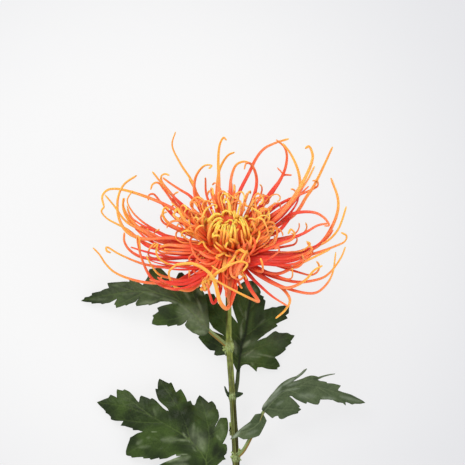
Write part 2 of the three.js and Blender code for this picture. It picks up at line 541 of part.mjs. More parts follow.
function leaf({ stalk, midrib, left, right }, lobes) {
  const rib = midrib.map(fromHeart);
  const extra = lobes.map((lobe) => blade(lobe.midrib.map(fromHeart), [lobe.left, lobe.right]));
  const stalkRoute = routeThrough([...stalk.map(fromHeart), ...rib.slice(0, -2)]);
  const stalkBar = bar(stalkRoute, (u) => STALK_GIRTH * (1.15 - 0.65 * u), 9, 4);
  return joined([joined([blade(rib, [left, right]), stalkBar, ...extra]).subtract(stem(SEAT_GAP))]);
}

// ---------- assembly ----------

function finish(color, roughness) {
  return new THREE.MeshStandardMaterial({ color, roughness, metalness: 0 });
}

const FINISHES = {
  longRays: finish(0xd8391c, 0.5),
  shortRays: finish(0xf07a22, 0.5),
  florets: finish(0xe9b92c, 0.5),
  calyx: finish(0x5f7a3a, 0.6),
  stem: finish(0x75853a, 0.55),
  leaf: finish(0x3a5a2c, 0.5),
};

function meshOf(name, solid, material) {
  const mesh = new THREE.Mesh(geometryOf(solid), material);
  mesh.name = name;
  return mesh;
}

const flower = new THREE.Group();
flower.name = "spider_mum";
const long = longRays();
const florets = centreFlorets();
flower.add(
  meshOf("ray_petals_long", rayHead(LONG_CORE, long, LONG_GIRTH, 6), FINISHES.longRays),
  meshOf("ray_petals_short", rayHead(SHORT_CORE, shortRays(long, florets), SHORT_GIRTH, 3.6), FINISHES.shortRays),
  meshOf("centre_florets", rayHead(CENTRE_CORE, florets, FLORET_GIRTH, 2.8), FINISHES.florets),
  meshOf("calyx", calyx(), FINISHES.calyx),
  meshOf("stem", stem(0), FINISHES.stem),
);
for (const [name, shape] of Object.entries(LEAVES)) {
  const lobes = name === "leaf_lower_right" ? [LOW_LOBE] : [];
  flower.add(meshOf(name, leaf(shape, lobes), FINISHES.leaf));
}

export default flower;
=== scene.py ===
"""A cut stem of a spider mum that lies on a table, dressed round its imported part.

Places in the data are millimetres from the heart of the flower, where the petals meet: across, along the stem
towards the flower, and up. The meshes are in metres, in the part's own frame.
"""

import math
from collections import namedtuple

import bmesh
import bpy
import numpy as np
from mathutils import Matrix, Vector
from mathutils.geometry import delaunay_2d_cdt


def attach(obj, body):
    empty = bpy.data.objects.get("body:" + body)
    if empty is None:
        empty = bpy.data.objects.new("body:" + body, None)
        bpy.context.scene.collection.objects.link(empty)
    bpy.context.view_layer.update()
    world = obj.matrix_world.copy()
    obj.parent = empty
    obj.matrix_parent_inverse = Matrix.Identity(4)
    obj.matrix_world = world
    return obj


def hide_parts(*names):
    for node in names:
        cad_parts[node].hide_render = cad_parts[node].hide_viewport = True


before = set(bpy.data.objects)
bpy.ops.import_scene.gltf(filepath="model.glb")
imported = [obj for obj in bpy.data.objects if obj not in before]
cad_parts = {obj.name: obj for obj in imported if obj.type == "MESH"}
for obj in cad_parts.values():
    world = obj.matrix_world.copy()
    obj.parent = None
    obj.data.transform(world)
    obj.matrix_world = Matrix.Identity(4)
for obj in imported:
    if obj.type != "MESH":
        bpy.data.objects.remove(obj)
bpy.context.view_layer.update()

bl_info = {
    "name": "Spider mum",
    "version": (1, 0, 0),
    "blender": (4, 5, 0),
    "location": "View3D > Sidebar > Spider mum",
    "description": "Grows a spider mum's petals, florets, stem and leaves round its packed part",
    "category": "Object",
}

MM = 0.001
HEART = np.array([2.8, 60.6, 38.0])  # middle of the flower head, in the part's frame
FACE_TILT = math.radians(42)  # the face is lifted this much off the line of the stem
FACE = np.array([0, math.cos(FACE_TILT), math.sin(FACE_TILT)])
FAR = np.array([0, FACE[2], -FACE[1]])  # across the face, away from the viewer
ACROSS = np.array([1.0, 0, 0])
LYING = 0.35  # height of the middle of a petal that lies on the table
LYING_GIVE = 4  # height over which such a petal bends until it lies


def light(red, green, blue):
    """A colour as seen on a screen, from 0 to 255, as Blender's own linear colour, by the sRGB curve."""
    channels = []
    for value in (red, green, blue):
        share = value / 255
        channels.append(share / 12.92 if share <= 0.04045 else ((share + 0.055) / 1.055) ** 2.4)
    return (*channels, 1.0)


# ---------- settings ----------


def size_setting(name, description, default, least, most):
    """A setting that holds a length in metres."""
    return bpy.props.FloatProperty(
        name=name, description=description, default=default, min=least, max=most, precision=5, unit="LENGTH")


def colour_setting(name, description, red, green, blue):
    """A setting that holds a colour, whose default is given as seen on a screen."""
    return bpy.props.FloatVectorProperty(
        name=name, description=description, default=light(red, green, blue), min=0, max=1, size=4,
        subtype="COLOR")


class PetalSettings(bpy.types.PropertyGroup):
    """Sizes and colours of the petals and florets."""

    long_girth: size_setting("Long petal", "Radius of a long petal at its thickest", 0.00092, 0.0004, 0.002)
    short_girth: size_setting(
        "Short petal", "Radius of a short petal at its thickest", 0.00076, 0.0004, 0.002)
    floret_girth: size_setting("Floret", "Radius of a floret of the centre", 0.0008, 0.0004, 0.002)
    curl_girth: size_setting(
        "Curled petal", "Radius of a thin curled petal at its thickest", 0.00078, 0.0003, 0.002)
    tip_girth: size_setting("Tip", "Radius of any petal close to its tip", 0.00048, 0.0002, 0.001)
    groove: bpy.props.FloatProperty(
        name="Groove", description="Depth of the groove along a petal, as a share of its radius",
        default=0.5, min=0.0, max=1.2, subtype="FACTOR")
    root_colour: colour_setting("Root", "Colour of a long petal at its root", 220, 60, 44)
    middle_colour: colour_setting("Middle", "Colour of a long petal between root and tip", 248, 132, 80)
    tip_colour: colour_setting("Tip", "Colour of a long petal at its tip", 251, 180, 78)
    short_root_colour: colour_setting("Short root", "Colour of a short petal at its root", 244, 100, 60)
    short_middle_colour: colour_setting(
        "Short middle", "Colour of a short petal between root and tip", 253, 154, 80)
    short_tip_colour: colour_setting("Short tip", "Colour of a short petal at its tip", 255, 196, 90)
    floret_root_colour: colour_setting("Floret root", "Colour deep between the florets", 240, 104, 62)
    floret_colour: colour_setting("Floret", "Colour of a floret along its middle", 250, 160, 76)
    floret_tip_colour: colour_setting("Floret tip", "Colour of a floret's tip", 251, 208, 88)


class StemSettings(bpy.types.PropertyGroup):
    """Sizes and colours of the stem, the calyx and the leaf stalks."""

    top_girth: size_setting("Top", "Radius of the stem under the flower", 0.0015, 0.001, 0.004)
    cut_girth: size_setting("Cut end", "Radius of the stem at its cut end", 0.0021, 0.001, 0.004)
    stalk_girth: size_setting(
        "Leaf stalk", "Radius of a leaf's stalk where it leaves the stem", 0.00105, 0.0006, 0.003)
    young_colour: colour_setting("Young stem", "Colour of the stem near the flower", 156, 172, 76)
    old_colour: colour_setting("Old stem", "Colour of the stem near its cut end", 92, 92, 40)
    # The streak colour is also that of the painted shade down one side of the stem.
    streak_and_shade_colour: colour_setting("Streaks", "Colour of the brown streaks along the stem", 44, 38, 14)
    collar_colour: colour_setting(
        "Collars", "Colour of the knuckles where leaves leave the stem", 160, 178, 122)
    pith_colour: colour_setting("Pith", "Colour inside the cut end", 206, 204, 160)


class LeafSettings(bpy.types.PropertyGroup):
    """Sizes and colours of the leaves."""

    thickness: size_setting("Thickness", "Thickness of a leaf blade", 0.0006, 0.0002, 0.0015)
    spacing: size_setting(
        "Mesh spacing", "Distance between the points of a leaf's mesh", 0.0006, 0.0004, 0.003)
    puff: size_setting("Puff", "How far the blade swells up between its veins", 0.0004, 0.0, 0.002)
    upper_colour: colour_setting("Upper side", "Colour of the upper side of a leaf", 60, 80, 31)
    shade_colour: colour_setting(
        "Dark patches", "Colour of the darker patches of the upper side", 31, 44, 17)
    under_colour: colour_setting("Underside", "Colour of the underside of a leaf", 86, 99, 68)
    vein_colour: colour_setting("Veins", "Colour of the veins", 104, 126, 62)


class StageSettings(bpy.types.PropertyGroup):
    """The floor, the light and the camera."""

    floor_size: bpy.props.FloatProperty(
        name="Floor", description="Length of the floor's side",
        default=6.0, min=1.0, max=20.0, unit="LENGTH")
    floor_colour: colour_setting("Floor", "Colour of the floor", 100, 100, 102)
    floor_glow: bpy.props.FloatProperty(
        name="Floor glow", description="Strength of the light that the floor gives off",
        default=0.782, min=0.0, max=2.0)
    sky_strength: bpy.props.FloatProperty(
        name="Room light", description="Strength of the even light from all round",
        default=0.8, min=0.0, max=3.0)
    key_power: bpy.props.FloatProperty(
        name="Key light", description="Power of the large soft light",
        default=20.0, min=0.0, max=200.0, unit="POWER")
    lens: bpy.props.FloatProperty(
        name="Lens", description="Focal length of the camera in millimetres",
        default=600.0, min=50.0, max=1000.0)
    reach: bpy.props.FloatProperty(
        name="Camera height", description="Height of the camera above the heart of the flower",
        default=4.262, min=0.5, max=8.0, unit="LENGTH")


class MumSettings(bpy.types.PropertyGroup):
    """Everything that can be changed about the flower."""

    petals: bpy.props.PointerProperty(type=PetalSettings, name="Petals", description="Petals and florets")
    stem: bpy.props.PointerProperty(type=StemSettings, name="Stem", description="Stem, calyx and stalks")
    leaves: bpy.props.PointerProperty(type=LeafSettings, name="Leaves", description="Leaf blades")
    stage: bpy.props.PointerProperty(type=StageSettings, name="Stage", description="Floor, light and camera")


def settings():
    """The scene's own settings for the flower."""
    return bpy.context.scene.spider_mum


# ---------- routes ----------

DICE_STEP, DICE_SIDES = 16807, 2147483647  # of the Lehmer generator
SAME_KNOT = 1e-4  # a spacing of knots that counts as none
FINE_STEPS = 160  # at least, in which a route is measured
SOFTENED = 6  # steps to each side over which a bend is averaged


def dice(seed):
    """Draws the same numbers on every run."""
    state = [seed]

    def draw(low, high):
        state[0] = (state[0] * DICE_STEP) % DICE_SIDES
        return low + ((high - low) * state[0]) / DICE_SIDES

    return draw


def along_knots(places, shares):
    """Points of the centripetal Catmull-Rom curve through places, at even shares of its knots."""
    knots = np.asarray(places, float)
    ends = np.vstack([2 * knots[0] - knots[1], knots, 2 * knots[-1] - knots[-2]])
    at = np.asarray(shares) * (len(knots) - 1)
    first = np.minimum(at.astype(int), len(knots) - 2)
    w = (at - first)[:, None]
    p0, p1, p2, p3 = (ends[first + k] for k in range(4))
    gaps = [np.sqrt(np.linalg.norm(b - a, axis=1))[:, None] for a, b in ((p0, p1), (p1, p2), (p2, p3))]
    middle = np.where(gaps[1] < SAME_KNOT, 1.0, gaps[1])
    before = np.where(gaps[0] < SAME_KNOT, middle, gaps[0])
    after = np.where(gaps[2] < SAME_KNOT, middle, gaps[2])
    start = ((p1 - p0) / before - (p2 - p0) / (before + middle) + (p2 - p1) / middle) * middle
    end = ((p2 - p1) / middle - (p3 - p1) / (middle + after) + (p3 - p2) / after) * middle
    cubic = 2 * p1 - 2 * p2 + start + end
    square = -3 * p1 + 3 * p2 - 2 * start - end
    return p1 + start * w + square * w**2 + cubic * w**3


def spots(places, count):
    """Evenly numbered points along a route."""
    return along_knots(places, np.linspace(0, 1, count + 1))


def rings_along(places, count, bend_weight):
    """Points along a route for the rings of a mesh, closer together where it bends, each one's share of the
    length, and the length."""
    fine = spots(places, max(FINE_STEPS, 10 * len(places)))
    steps = np.diff(fine, axis=0)
    lengths = np.linalg.norm(steps, axis=1)
    travelled = np.concatenate([[0], np.cumsum(lengths)])
    headings = steps / np.maximum(lengths, 1e-9)[:, None]
    turns = np.concatenate([[0], np.linalg.norm(np.diff(headings, axis=0), axis=1)])
    window = 2 * SOFTENED + 1
    soft = np.convolve(np.pad(turns, SOFTENED, mode="edge"), np.ones(window) / window, mode="valid")
    effort = np.concatenate([[0], np.cumsum(lengths + bend_weight * soft)])
    marks = np.interp(np.linspace(0, effort[-1], count), effort, travelled)
    points = np.stack([np.interp(marks, travelled, fine[:, axis]) for axis in range(3)], axis=1)
    return points, marks / travelled[-1], travelled[-1]


def frames_along(points, up):
    """The side and the upper side at each point, carried along without twist from up."""
    headings = np.gradient(points, axis=0)
    headings /= np.linalg.norm(headings, axis=1)[:, None]
    top = np.asarray(up, float) - np.dot(up, headings[0]) * headings[0]
    if np.linalg.norm(top) < 1e-3:
        top = np.cross(headings[0], ACROSS)
    tops = []
    for heading in headings:
        top = top - np.dot(top, heading) * heading
        top = top / np.linalg.norm(top)
        tops.append(top)
    tops = np.array(tops)
    return np.cross(headings, tops), tops


def on_flower(across, far, up):
    """A place on the flower: across it, away over it, and up out of its face."""
    return HEART + across * ACROSS + far * FAR + up * FACE


def settled(places):
    """A petal that would go through the table bends and lies along it."""
    places = np.array(places, float)
    depth = np.maximum(0, places[:, 2] - LYING + LYING_GIVE)
    low = places[:, 2] < LYING + LYING_GIVE
    places[low, 2] = LYING + (depth[low] ** 2) / (4 * LYING_GIVE)
    return places


# One petal to grow: the share of its length where it turns gold, how ripe its root is, its girth as a share
# of the piece's own, and the places that it passes.
Ray = namedtuple("Ray", "turn base girth places")
STRIDES = 26  # steps of a petal that finds its own way


def gesture(azimuth, root, height, launch, length, cup, curl, curl_from, sway, curl_sway):
    """Walks out from the root, lifting, swinging and at last curling as it goes. Angles are in degrees:
    azimuth runs round the face from the right, launch is the first slope above the face's plane."""
    places = []
    across = root * math.cos(math.radians(azimuth))
    far = root * math.sin(math.radians(azimuth))
    up = height
    for i in range(STRIDES + 1):
        places.append(on_flower(across, far, up))
        u = (i + 0.5) / STRIDES
        late = max(0, (u - curl_from) / (1 - curl_from))
        lift = math.radians(launch + cup * u + curl * late)
        swing = math.radians(azimuth + sway * u * u + curl_sway * late)
        stride = length / STRIDES
        across += stride * math.cos(lift) * math.cos(swing)
        far += stride * math.cos(lift) * math.sin(swing)
        up += stride * math.sin(lift)
    return np.array(places)


# The long petals that reach past the head, on each side of it. Each is the share of its length where red
# gives way to gold, and the places that it passes.
FAR_RAYS = [
    (0.3, [[-13.8, 16, -9], [-19.5, 32.7, -14], [-26.4, 43.5, -14], [-30.8, 53.4, -12], [-28.9, 60.7, -9]]),
    (0.62, [[-17.6, 23, -10], [-18, 35, -10], [-13, 42, -5], [-9, 42, -2], [-10.5, 40.3, 0]]),
    (0.42, [[-5.2, 18, -10], [-5, 33, -14], [-5.3, 46, -13], [-4.4, 54, -10], [-2.3, 57.5, -8],
     [-0.8, 56, -7]]),
    (0.5, [[-6, 18, -14], [-5.8, 33, -19], [-4.3, 41, -20], [0, 47.8, -18], [3.6, 49.5, -16]]),
    (0.62, [[1.1, 26, -13], [2, 36.3, -15], [4.5, 42.4, -13], [8.7, 44.3, -10], [13, 43.2, -8]]),
    (0.85, [[13.8, 23.6, -12], [15.8, 32.5, -14], [15.2, 38, -12], [12.5, 43, -8], [10, 43.2, -5],
     [9, 40, -3]]),
    (0.8, [[5, 23.9, -12], [11.9, 38.6, -15], [15.8, 46.5, -14], [20, 51.5, -12], [26, 54.5, -9],
     [33.5, 56.8, -5]]),
    (0.86, [[22.7, 24.9, -14], [28.6, 33.7, -16], [31.6, 40.6, -14], [32.5, 47.5, -12], [31, 52.4, -9],
     [26.6, 56.3, -6]]),
    (0.52, [[25, 15, -2], [36.3, 23.1, -4], [39.6, 30.2, -5], [38.5, 39.6, -5], [34.5, 48.5, -5],
     [30.2, 54.2, -4]]),
    (0.95, [[24.6, 26.7, -20], [28, 32.5, -21], [30.3, 37, -20], [27.2, 41, -18]]),
    (1, [[24.2, 28.6, -17], [27.5, 32.8, -18], [30.5, 36.7, -17], [35.2, 36.9, -15]]),
    (0.8, [[26.4, 19.5, -12], [39, 25.8, -13], [45.6, 28.6, -12], [49.5, 31, -10], [49, 33.8, -8],
     [46.5, 33.6, -7]]),
    (0.66, [[-26.4, 20.9, -10], [-32.3, 27.8, -11], [-36.6, 33.5, -10], [-36.7, 36.3, -8],
     [-34.5, 37.5, -6], [-32.3, 36.6, -5]]),
    (0.8, [[-20.5, 24.9, -16], [-26.4, 28.8, -17], [-32.3, 32.7, -17], [-36, 35.5, -15]]),
    (0.75, [[-24.8, 15.4, -14], [-35.2, 28.8, -15], [-38.7, 32.7, -13], [-41.6, 31.7, -11],
     [-42.6, 28.8, -10]]),
    (0.85, [[-26.4, 11, -17], [-37.2, 22, -18], [-41.1, 26.4, -16], [-43.6, 25.8, -14], [-44, 22.9, -13]]),
]
LEFT_RAYS = [
    (0.6, [[-20, 5, 3], [-29.4, 8.3, 6], [-34.3, 12.1, 8], [-35.8, 16, 10], [-34.3, 19, 11],
     [-32.2, 17.5, 12]]),
    (0.52, [[-26.4, 16, -4], [-45, 24.9, -4], [-61.8, 29.3, -2], [-66.7, 28.3, 0], [-69.1, 24.9, 2],
     [-68, 19, 4]]),
    (0.42, [[-30, 2, 6], [-48, 2, 8], [-56, 6.2, 10], [-60, 14, 12], [-60.3, 24, 13], [-57, 31.5, 13],
     [-50, 36.5, 12]]),
    (0.55, [[-37, 0.5, 0], [-47, 6.2, 0], [-55.9, 11.1, 1], [-62.7, 20, 2], [-67.6, 25.9, 3]]),
    (0.6, [[-43, -1.6, -4], [-55.9, 7.2, -4], [-66.7, 13.1, -3], [-69.6, 17, -1], [-68, 19.3, 1]]),
    (0.7, [[-29.4, 1.8, -6], [-39.2, 6.2, -7], [-47, 11.1, -7], [-52.9, 17, -6], [-55.4, 22.9, -5],
     [-52.4, 28.3, -2]]),
    (0.6, [[-37.4, 0.3, -12], [-48, 6.2, -12], [-54.9, 12.1, -11], [-57.8, 19, -9], [-57.6, 24.2, -8]]),
    (0.75, [[-42.9, 3.3, -15], [-50, 8.8, -15], [-53.9, 15.1, -14], [-55.7, 20, -13]]),
    (0.9, [[-30, -9, 2], [-47, -8.5, 3], [-53.9, -4.6, 4], [-56.9, 0.3, 6], [-56.9, 5.2, 8]]),
    (0.62, [[-30, -13.5, 4], [-45, -12.4, 5], [-59.8, -6.6, 6], [-66.5, -2.8, 8], [-66.5, -4.8, 10],
     [-64.3, -6, 10]]),
    (0.58, [[-20.5, -19.3, 6], [-42.1, -22.5, 9], [-60.8, -17.4, 11], [-66.7, -12.4, 13], [-70.6, -6.6, 15],
     [-74, -3.1, 16]]),
    (0.82, [[-13, -17, 16], [-20.5, -24.2, 18], [-29.4, -25.7, 21], [-41.1, -20.4, 27], [-47.5, -7.5, 34],
     [-49.4, 3.4, 38], [-48.5, 2.6, 38.2], [-48.2, -1, 37.4], [-47.7, -4.4, 36.4]]),
    (0.7, [[-22, -21, 10], [-33, -19.5, 13], [-38.2, -17.4, 16], [-42.1, -12.4, 18], [-44.6, -7.5, 20]]),
    (0.45, [[-26.4, -13.4, 16], [-37.2, -9.5, 23], [-39.2, -5.5, 25], [-38.5, -1, 26], [-40.7, -3, 27]]),
]
NEAR_RAYS = [
    (0.47, [[3, -12, 18], [3.5, -24, 30], [-0.5, -36.3, 41], [-4, -33, 46], [-9, -18, 53], [-19, -11.8, 56],
     [-29, -12.4, 54]]),
    (0.5, [[-12, -16, 14], [-20, -26, 22], [-28, -25, 27], [-31.5, -20.5, 31], [-32, -16, 34],
     [-28, -12.3, 37]]),
    (0.95, [[-4, -16, 18], [-4.4, -27.2, 27], [-8, -33.5, 32], [-9.8, -29, 35], [-11.5, -22.5, 38]]),
    (0.57, [[6, -12, 20], [12, -25.2, 33], [16.5, -32.3, 41], [13, -31, 44], [-3.9, -22.3, 52],
     [-8, -19.5, 53]]),
    (0.35, [[-5, -14, 22], [-9, -20, 38], [-8, -18.5, 47], [-2, -14, 50], [7, -10.5, 51], [10.5, -12, 50.5],
     [8, -16, 50]]),
    (0.5, [[-8, -14, 18], [-13, -24, 28], [-14.5, -26, 32], [-10.5, -25, 34], [-11, -21, 35],
     [-13.5, -22, 35]]),
]
RIGHT_RAYS = [
    (0.6, [[25, -8, 4], [40, -5, 5], [54, 0.3, 7], [60, 6.2, 9], [63, 13.1, 10], [64.9, 19.5, 11]]),
    (0.92, [[24, 6.5, -4], [34.5, 15.1, -2], [47.3, 16.2, 2], [53, 13.2, 4], [55.5, 9.2, 6], [53, 8.8, 8]]),
    (1, [[20, -2, 8], [32.5, 1.3, 11], [42.4, 5.2, 13], [49.2, 9.1, 14], [55, 10.2, 14]]),
    (0.75, [[18, -5, 14], [29.6, -0.7, 20], [35, 1.5, 22], [36.5, 4.5, 24], [34.5, 6.9, 25],
     [32.9, 4.4, 26]]),
    (0.7, [[24, -11, 4], [40, -8.5, 6], [58, -2.6, 10], [64, 0.3, 12], [65, 3.3, 14], [62, 5.2, 16]]),
    (0.75, [[22, -6, 10], [34, -5.5, 12], [41, -4.6, 13], [45, -1, 14], [43, 0.3, 15]]),
    (0.85, [[22, -9.8, 10], [34, -9.6, 12.5], [42, -7.8, 14], [46, -4, 16], [45, -2, 17]]),
    (1.05, [[12, -13, 20], [21.7, -9.5, 26], [28, -4.6, 29], [27.3, -2.8, 30], [25.5, -4, 31]]),
    (0.6, [[12.9, -12.4, 10], [20.7, -16.4, 13], [27.5, -17.4, 14], [40.4, -11.5, 16], [56, -4, 18]]),
    (0.66, [[16, -15.5, 6], [36.3, -21.8, 9], [46.2, -21.3, 10], [54.1, -18.4, 11], [62, -8.5, 14],
     [64.4, -2.6, 15]]),
    (0.68, [[18, -18, 10], [31.6, -25.2, 14], [47.3, -28, 17], [53.1, -24.2, 18], [57.1, -17.4, 20],
     [59, -5.5, 22]]),
    (0.62, [[15, -17, 12], [31, -25, 17], [36.3, -24.2, 18], [42.4, -20.8, 20], [47.3, -15.4, 22],
     [51.7, -12.9, 23]]),
    (0.95, [[10.9, -17.4, 14], [17.8, -24.2, 17], [24.7, -30.1, 19], [32.5, -35, 21]]),
    (0.62, [[18.7, -18.7, 8], [30.6, -26.2, 12], [34, -32.1, 14], [31.6, -37, 15], [26.1, -41.9, 16]]),
]
# Petals on the far right that are thicker than the rest.
STOUT_RAYS = [
    (0.4, [[29.6, 16, 2], [39.4, 29.8, 3], [45.3, 41.6, 2], [46.6, 47.5, 1], [44.5, 52.5, 1],
     [42.4, 51.4, 2]]),
    (0.42, [[36.5, 15, -8], [43.3, 24.9, -9], [47.3, 30.8, -9], [54, 44.5, -8], [57.6, 52.4, -6]]),
    (0.58, [[26.4, -6, 0], [41.3, -5.5, 0], [51.2, -0.5, 2], [59.5, 14.1, 5], [60.5, 23.1, 5],
     [56.6, 35.2, 3]]),
]
# Two petals under the far side reach the table, and the head rests on them.
RESTING_RAYS = [
    (0.75, [[-17, 14, -17], [-26.4, 21.5, -27], [-33, 28, -36], [-38, 34, -42], [-42, 39, -42]]),
    (0.75, [[20, 12, -15], [31, 19.5, -26], [39, 27, -36], [44.5, 35, -42], [48, 42, -42]]),
]
LONG_CORE_HEIGHT = -4.6  # of the middle of the disc that the long petals grow from
ROOT_DEPTH = 6  # distance from the axis at which a petal's root is buried


def stated_ray(places):
    """A petal through stated places, its root sunk in the core on the side that it leaves from."""
    first = np.array(places[0], float)
    across, far = first @ ACROSS, first @ FAR
    share = ROOT_DEPTH / math.hypot(across, far)
    root = on_flower(across * share, far * share, LONG_CORE_HEIGHT)
    return np.vstack([root, np.array(places, float) + HEART])


# The rest of the long petals fill the head all round, in two tiers.
FILLING_TIERS = [
    dict(count=17, launch=-16, length=52, start=4),
    dict(count=15, launch=4, length=47, start=15),
]
FILLING_TURN = 0.85  # share of its length where a filling petal turns gold
FILLING_GIRTH = 0.9  # as a share of a long petal's


def filling_rays():
    """The places of the filling petals."""
    draw = dice(11)
    rays = []
    for tier in FILLING_TIERS:
        for k in range(tier["count"]):
            rays.append(gesture(
                azimuth=tier["start"] + (360 * k) / tier["count"] + draw(-4, 4),
                root=ROOT_DEPTH,
                height=LONG_CORE_HEIGHT,
                launch=tier["launch"] + draw(-5, 5),
                length=tier["length"] * draw(0.85, 1.12),
                cup=draw(10, 45),
                curl=draw(30, 150),
                curl_from=0.72,
                sway=draw(-18, 18),
                curl_sway=draw(-50, 50),
            ))
    return rays


# How ripe the roots of each side's petals are, and their girth as a share of a long petal's. Below 0 a petal
# stays red for longer.
STATED_RAYS = [
    (0.0, 0.95, FAR_RAYS), (0.0, 0.98, LEFT_RAYS), (-0.45, 1.3, NEAR_RAYS), (0.0, 1.0, RIGHT_RAYS),
    (0.0, 0.9, RESTING_RAYS), (0.0, 1.15, STOUT_RAYS)]
HEAD_LOW = -25  # along the stem, the place below which no filling petal hangs out of the head


def long_rays():
    """Every long petal of the part."""
    rays = [Ray(turn, base, girth, stated_ray(places))
            for base, girth, side in STATED_RAYS for turn, places in side]
    rays += [Ray(FILLING_TURN, 0.0, FILLING_GIRTH, places) for places in filling_rays()]
    return [ray._replace(places=settled(ray.places)) for ray in rays]


def tucked_in(ray):
    """A filling petal that ends where it would hang out below the head. A stated one, which has fewer places
    than a filling one, stays as it is."""
    low = np.nonzero((ray.places - HEART)[:, 1] < HEAD_LOW)[0]
    if len(ray.places) <= STRIDES or len(low) == 0:
        return ray
    return ray._replace(places=trimmed(ray.places, low[0] / STRIDES))


# The part's own short petals stand round the centre in three rings. One that finds no free place is left out.
SHORT_RINGS = [
    dict(count=22, root=9, height=0.8, launch=41, length=31, start=0),
    dict(count=20, root=9, height=1.7, launch=50, length=27, start=8),
    dict(count=16, root=9, height=2.1, launch=57, length=22, start=3),
]
SIDESTEPS = [0, 3, -3, 6, -6, 9, -9]  # degrees, tried in turn where another petal is in the way
LONG_REACH, SHORT_REACH = 0.95, 0.85  # radii within which the part's long and short petals want no other one
SEAT_GAP = 0.3  # between a short petal and a long one
INWARD_SHARE = 0.35  # of the short petals curl in towards the centre
LONG_SPOTS, FLORET_SPOTS = 60, 30  # steps in which a petal's way is searched for one that crosses it
SHARED_ROOT = 3  # the first steps of a short petal run among the florets' roots


def is_clear(ray, others, reach):
    """True where no point of a petal comes within reach of another one."""
    for other in others:
        gaps = np.linalg.norm(ray[:, None, :] - other[None, :, :], axis=2)
        if gaps.min() <= reach:
            return False
    return True


def short_rays(long_ones, florets):
    """The places of the short petals, which curl over at the tip."""
    draw = dice(29)
    rays = []
    outside = [spots(ray, LONG_SPOTS) for ray in long_ones]
    inside = [spots(ray, FLORET_SPOTS) for ray in florets]
    for ring in SHORT_RINGS:
        for k in range(ring["count"]):
            inward = draw(0, 1) < INWARD_SHARE
            azimuth = ring["start"] + (360 * k) / ring["count"] + draw(-5, 5)
            shape = dict(
                root=ring["root"],
                height=ring["height"],
                launch=ring["launch"] + draw(-2, 5),
                length=ring["length"] * draw(0.82, 1.12),
                cup=draw(-8, 12),
                curl=draw(150, 230) if inward else draw(-210, -120),
                curl_from=0.62,
                sway=draw(-14, 14),
                curl_sway=draw(-60, 60),
            )
            for step in SIDESTEPS:
                ray = gesture(azimuth=azimuth + step, **shape)
                if not is_clear(ray, outside, LONG_REACH + SHORT_REACH + SEAT_GAP):
                    continue
                if is_clear(ray[SHARED_ROOT:], inside, 2 * SHORT_REACH):
                    rays.append(ray)
                    break
    return rays


# The part's own florets stand in two rings and close over the centre.
FLORET_RINGS = [
    dict(count=20, root=8.3, height=4.2, launch=50, length=16.5, start=0),
    dict(count=12, root=6, height=6, launch=62, length=12, start=9),
]


def centre_rays():
    """The places of the florets, which bulge out of the middle and bend in over it."""
    draw = dice(53)
    rays = []
    for ring in FLORET_RINGS:
        for k in range(ring["count"]):
            rays.append(gesture(
                azimuth=ring["start"] + (360 * k) / ring["count"] + draw(-4, 4),
                root=ring["root"],
                height=ring["height"],
                launch=ring["launch"] + draw(-4, 4),
                length=ring["length"] * draw(0.9, 1.08),
                cup=118,
                curl=draw(0, 40),
                curl_from=0.8,
                sway=draw(-12, 12),
                curl_sway=0,
            ))
    return rays


# ---------- making meshes ----------

QUILL_WIDTH, QUILL_DEPTH = 1.1, 0.88  # of a petal's section, as shares of its girth


def deselect_all():
    """Leaves edit mode and deselects every object, so that the next operator acts on its own piece alone."""
    if bpy.context.mode != "OBJECT":
        bpy.ops.object.mode_set(mode="OBJECT")
    bpy.ops.object.select_all(action="DESELECT")


def activate(obj):
    """Makes one object the selected and active one."""
    deselect_all()
    obj.select_set(True)
    bpy.context.view_layer.objects.active = obj


def choose(obj, kind, wanted):
    """Selects, in edit mode, the vertices, edges or faces that wanted says yes to."""
    bpy.ops.mesh.select_mode(type=kind)
    bpy.ops.mesh.select_all(action="DESELECT")
    mesh = bmesh.from_edit_mesh(obj.data)
    parts = {"VERT": mesh.verts, "EDGE": mesh.edges, "FACE": mesh.faces}[kind]
    chosen = [part for part in parts if wanted(part)]
    if not chosen:
        raise RuntimeError(f"{obj.name}: nothing to select")
    for part in chosen:
        part.select_set(True)
    mesh.select_flush_mode()
    bmesh.update_edit_mesh(obj.data)


def straight_tube(name, sides, rings):
    """A straight closed tube, one unit long and one in radius, with its rings evenly along it, 102 at most.
    Its upper side is +Y. It is left in edit mode."""
    deselect_all()
    bpy.ops.mesh.primitive_cylinder_add(
        vertices=sides, radius=1, depth=1, end_fill_type="TRIFAN", location=(0, 0, 0.5))
    tube = bpy.context.active_object
    tube.name = name
    bpy.ops.object.transform_apply(location=True, rotation=True, scale=True)
    bpy.ops.object.mode_set(mode="EDIT")
    if rings > 2:
        choose(tube, "EDGE", lambda edge: abs(edge.verts[0].co.z - edge.verts[1].co.z) > 0.5)
        bpy.ops.mesh.subdivide(number_cuts=rings - 2)
    return tube


def flat_tube(name, sides, rings, width, depth, groove=0.0):
    """A straight tube that is made wider and flatter, with a groove along its upper side if it has one."""
    tube = straight_tube(name, sides, rings)
    if groove:
        choose(tube, "VERT", lambda vert: vert.co.y > 0.99)
        bpy.ops.transform.translate(value=(0, -groove, 0))
    bpy.ops.mesh.select_all(action="SELECT")
    bpy.ops.transform.resize(value=(width, depth, 1), center_override=(0, 0, 0))
    bpy.ops.object.mode_set(mode="OBJECT")
    return tube


def quill(name, sides, rings, groove):
    """A tube with a groove along its upper side and a flattened back, as a petal has."""
    return flat_tube(name, sides, rings, QUILL_WIDTH, QUILL_DEPTH, groove)


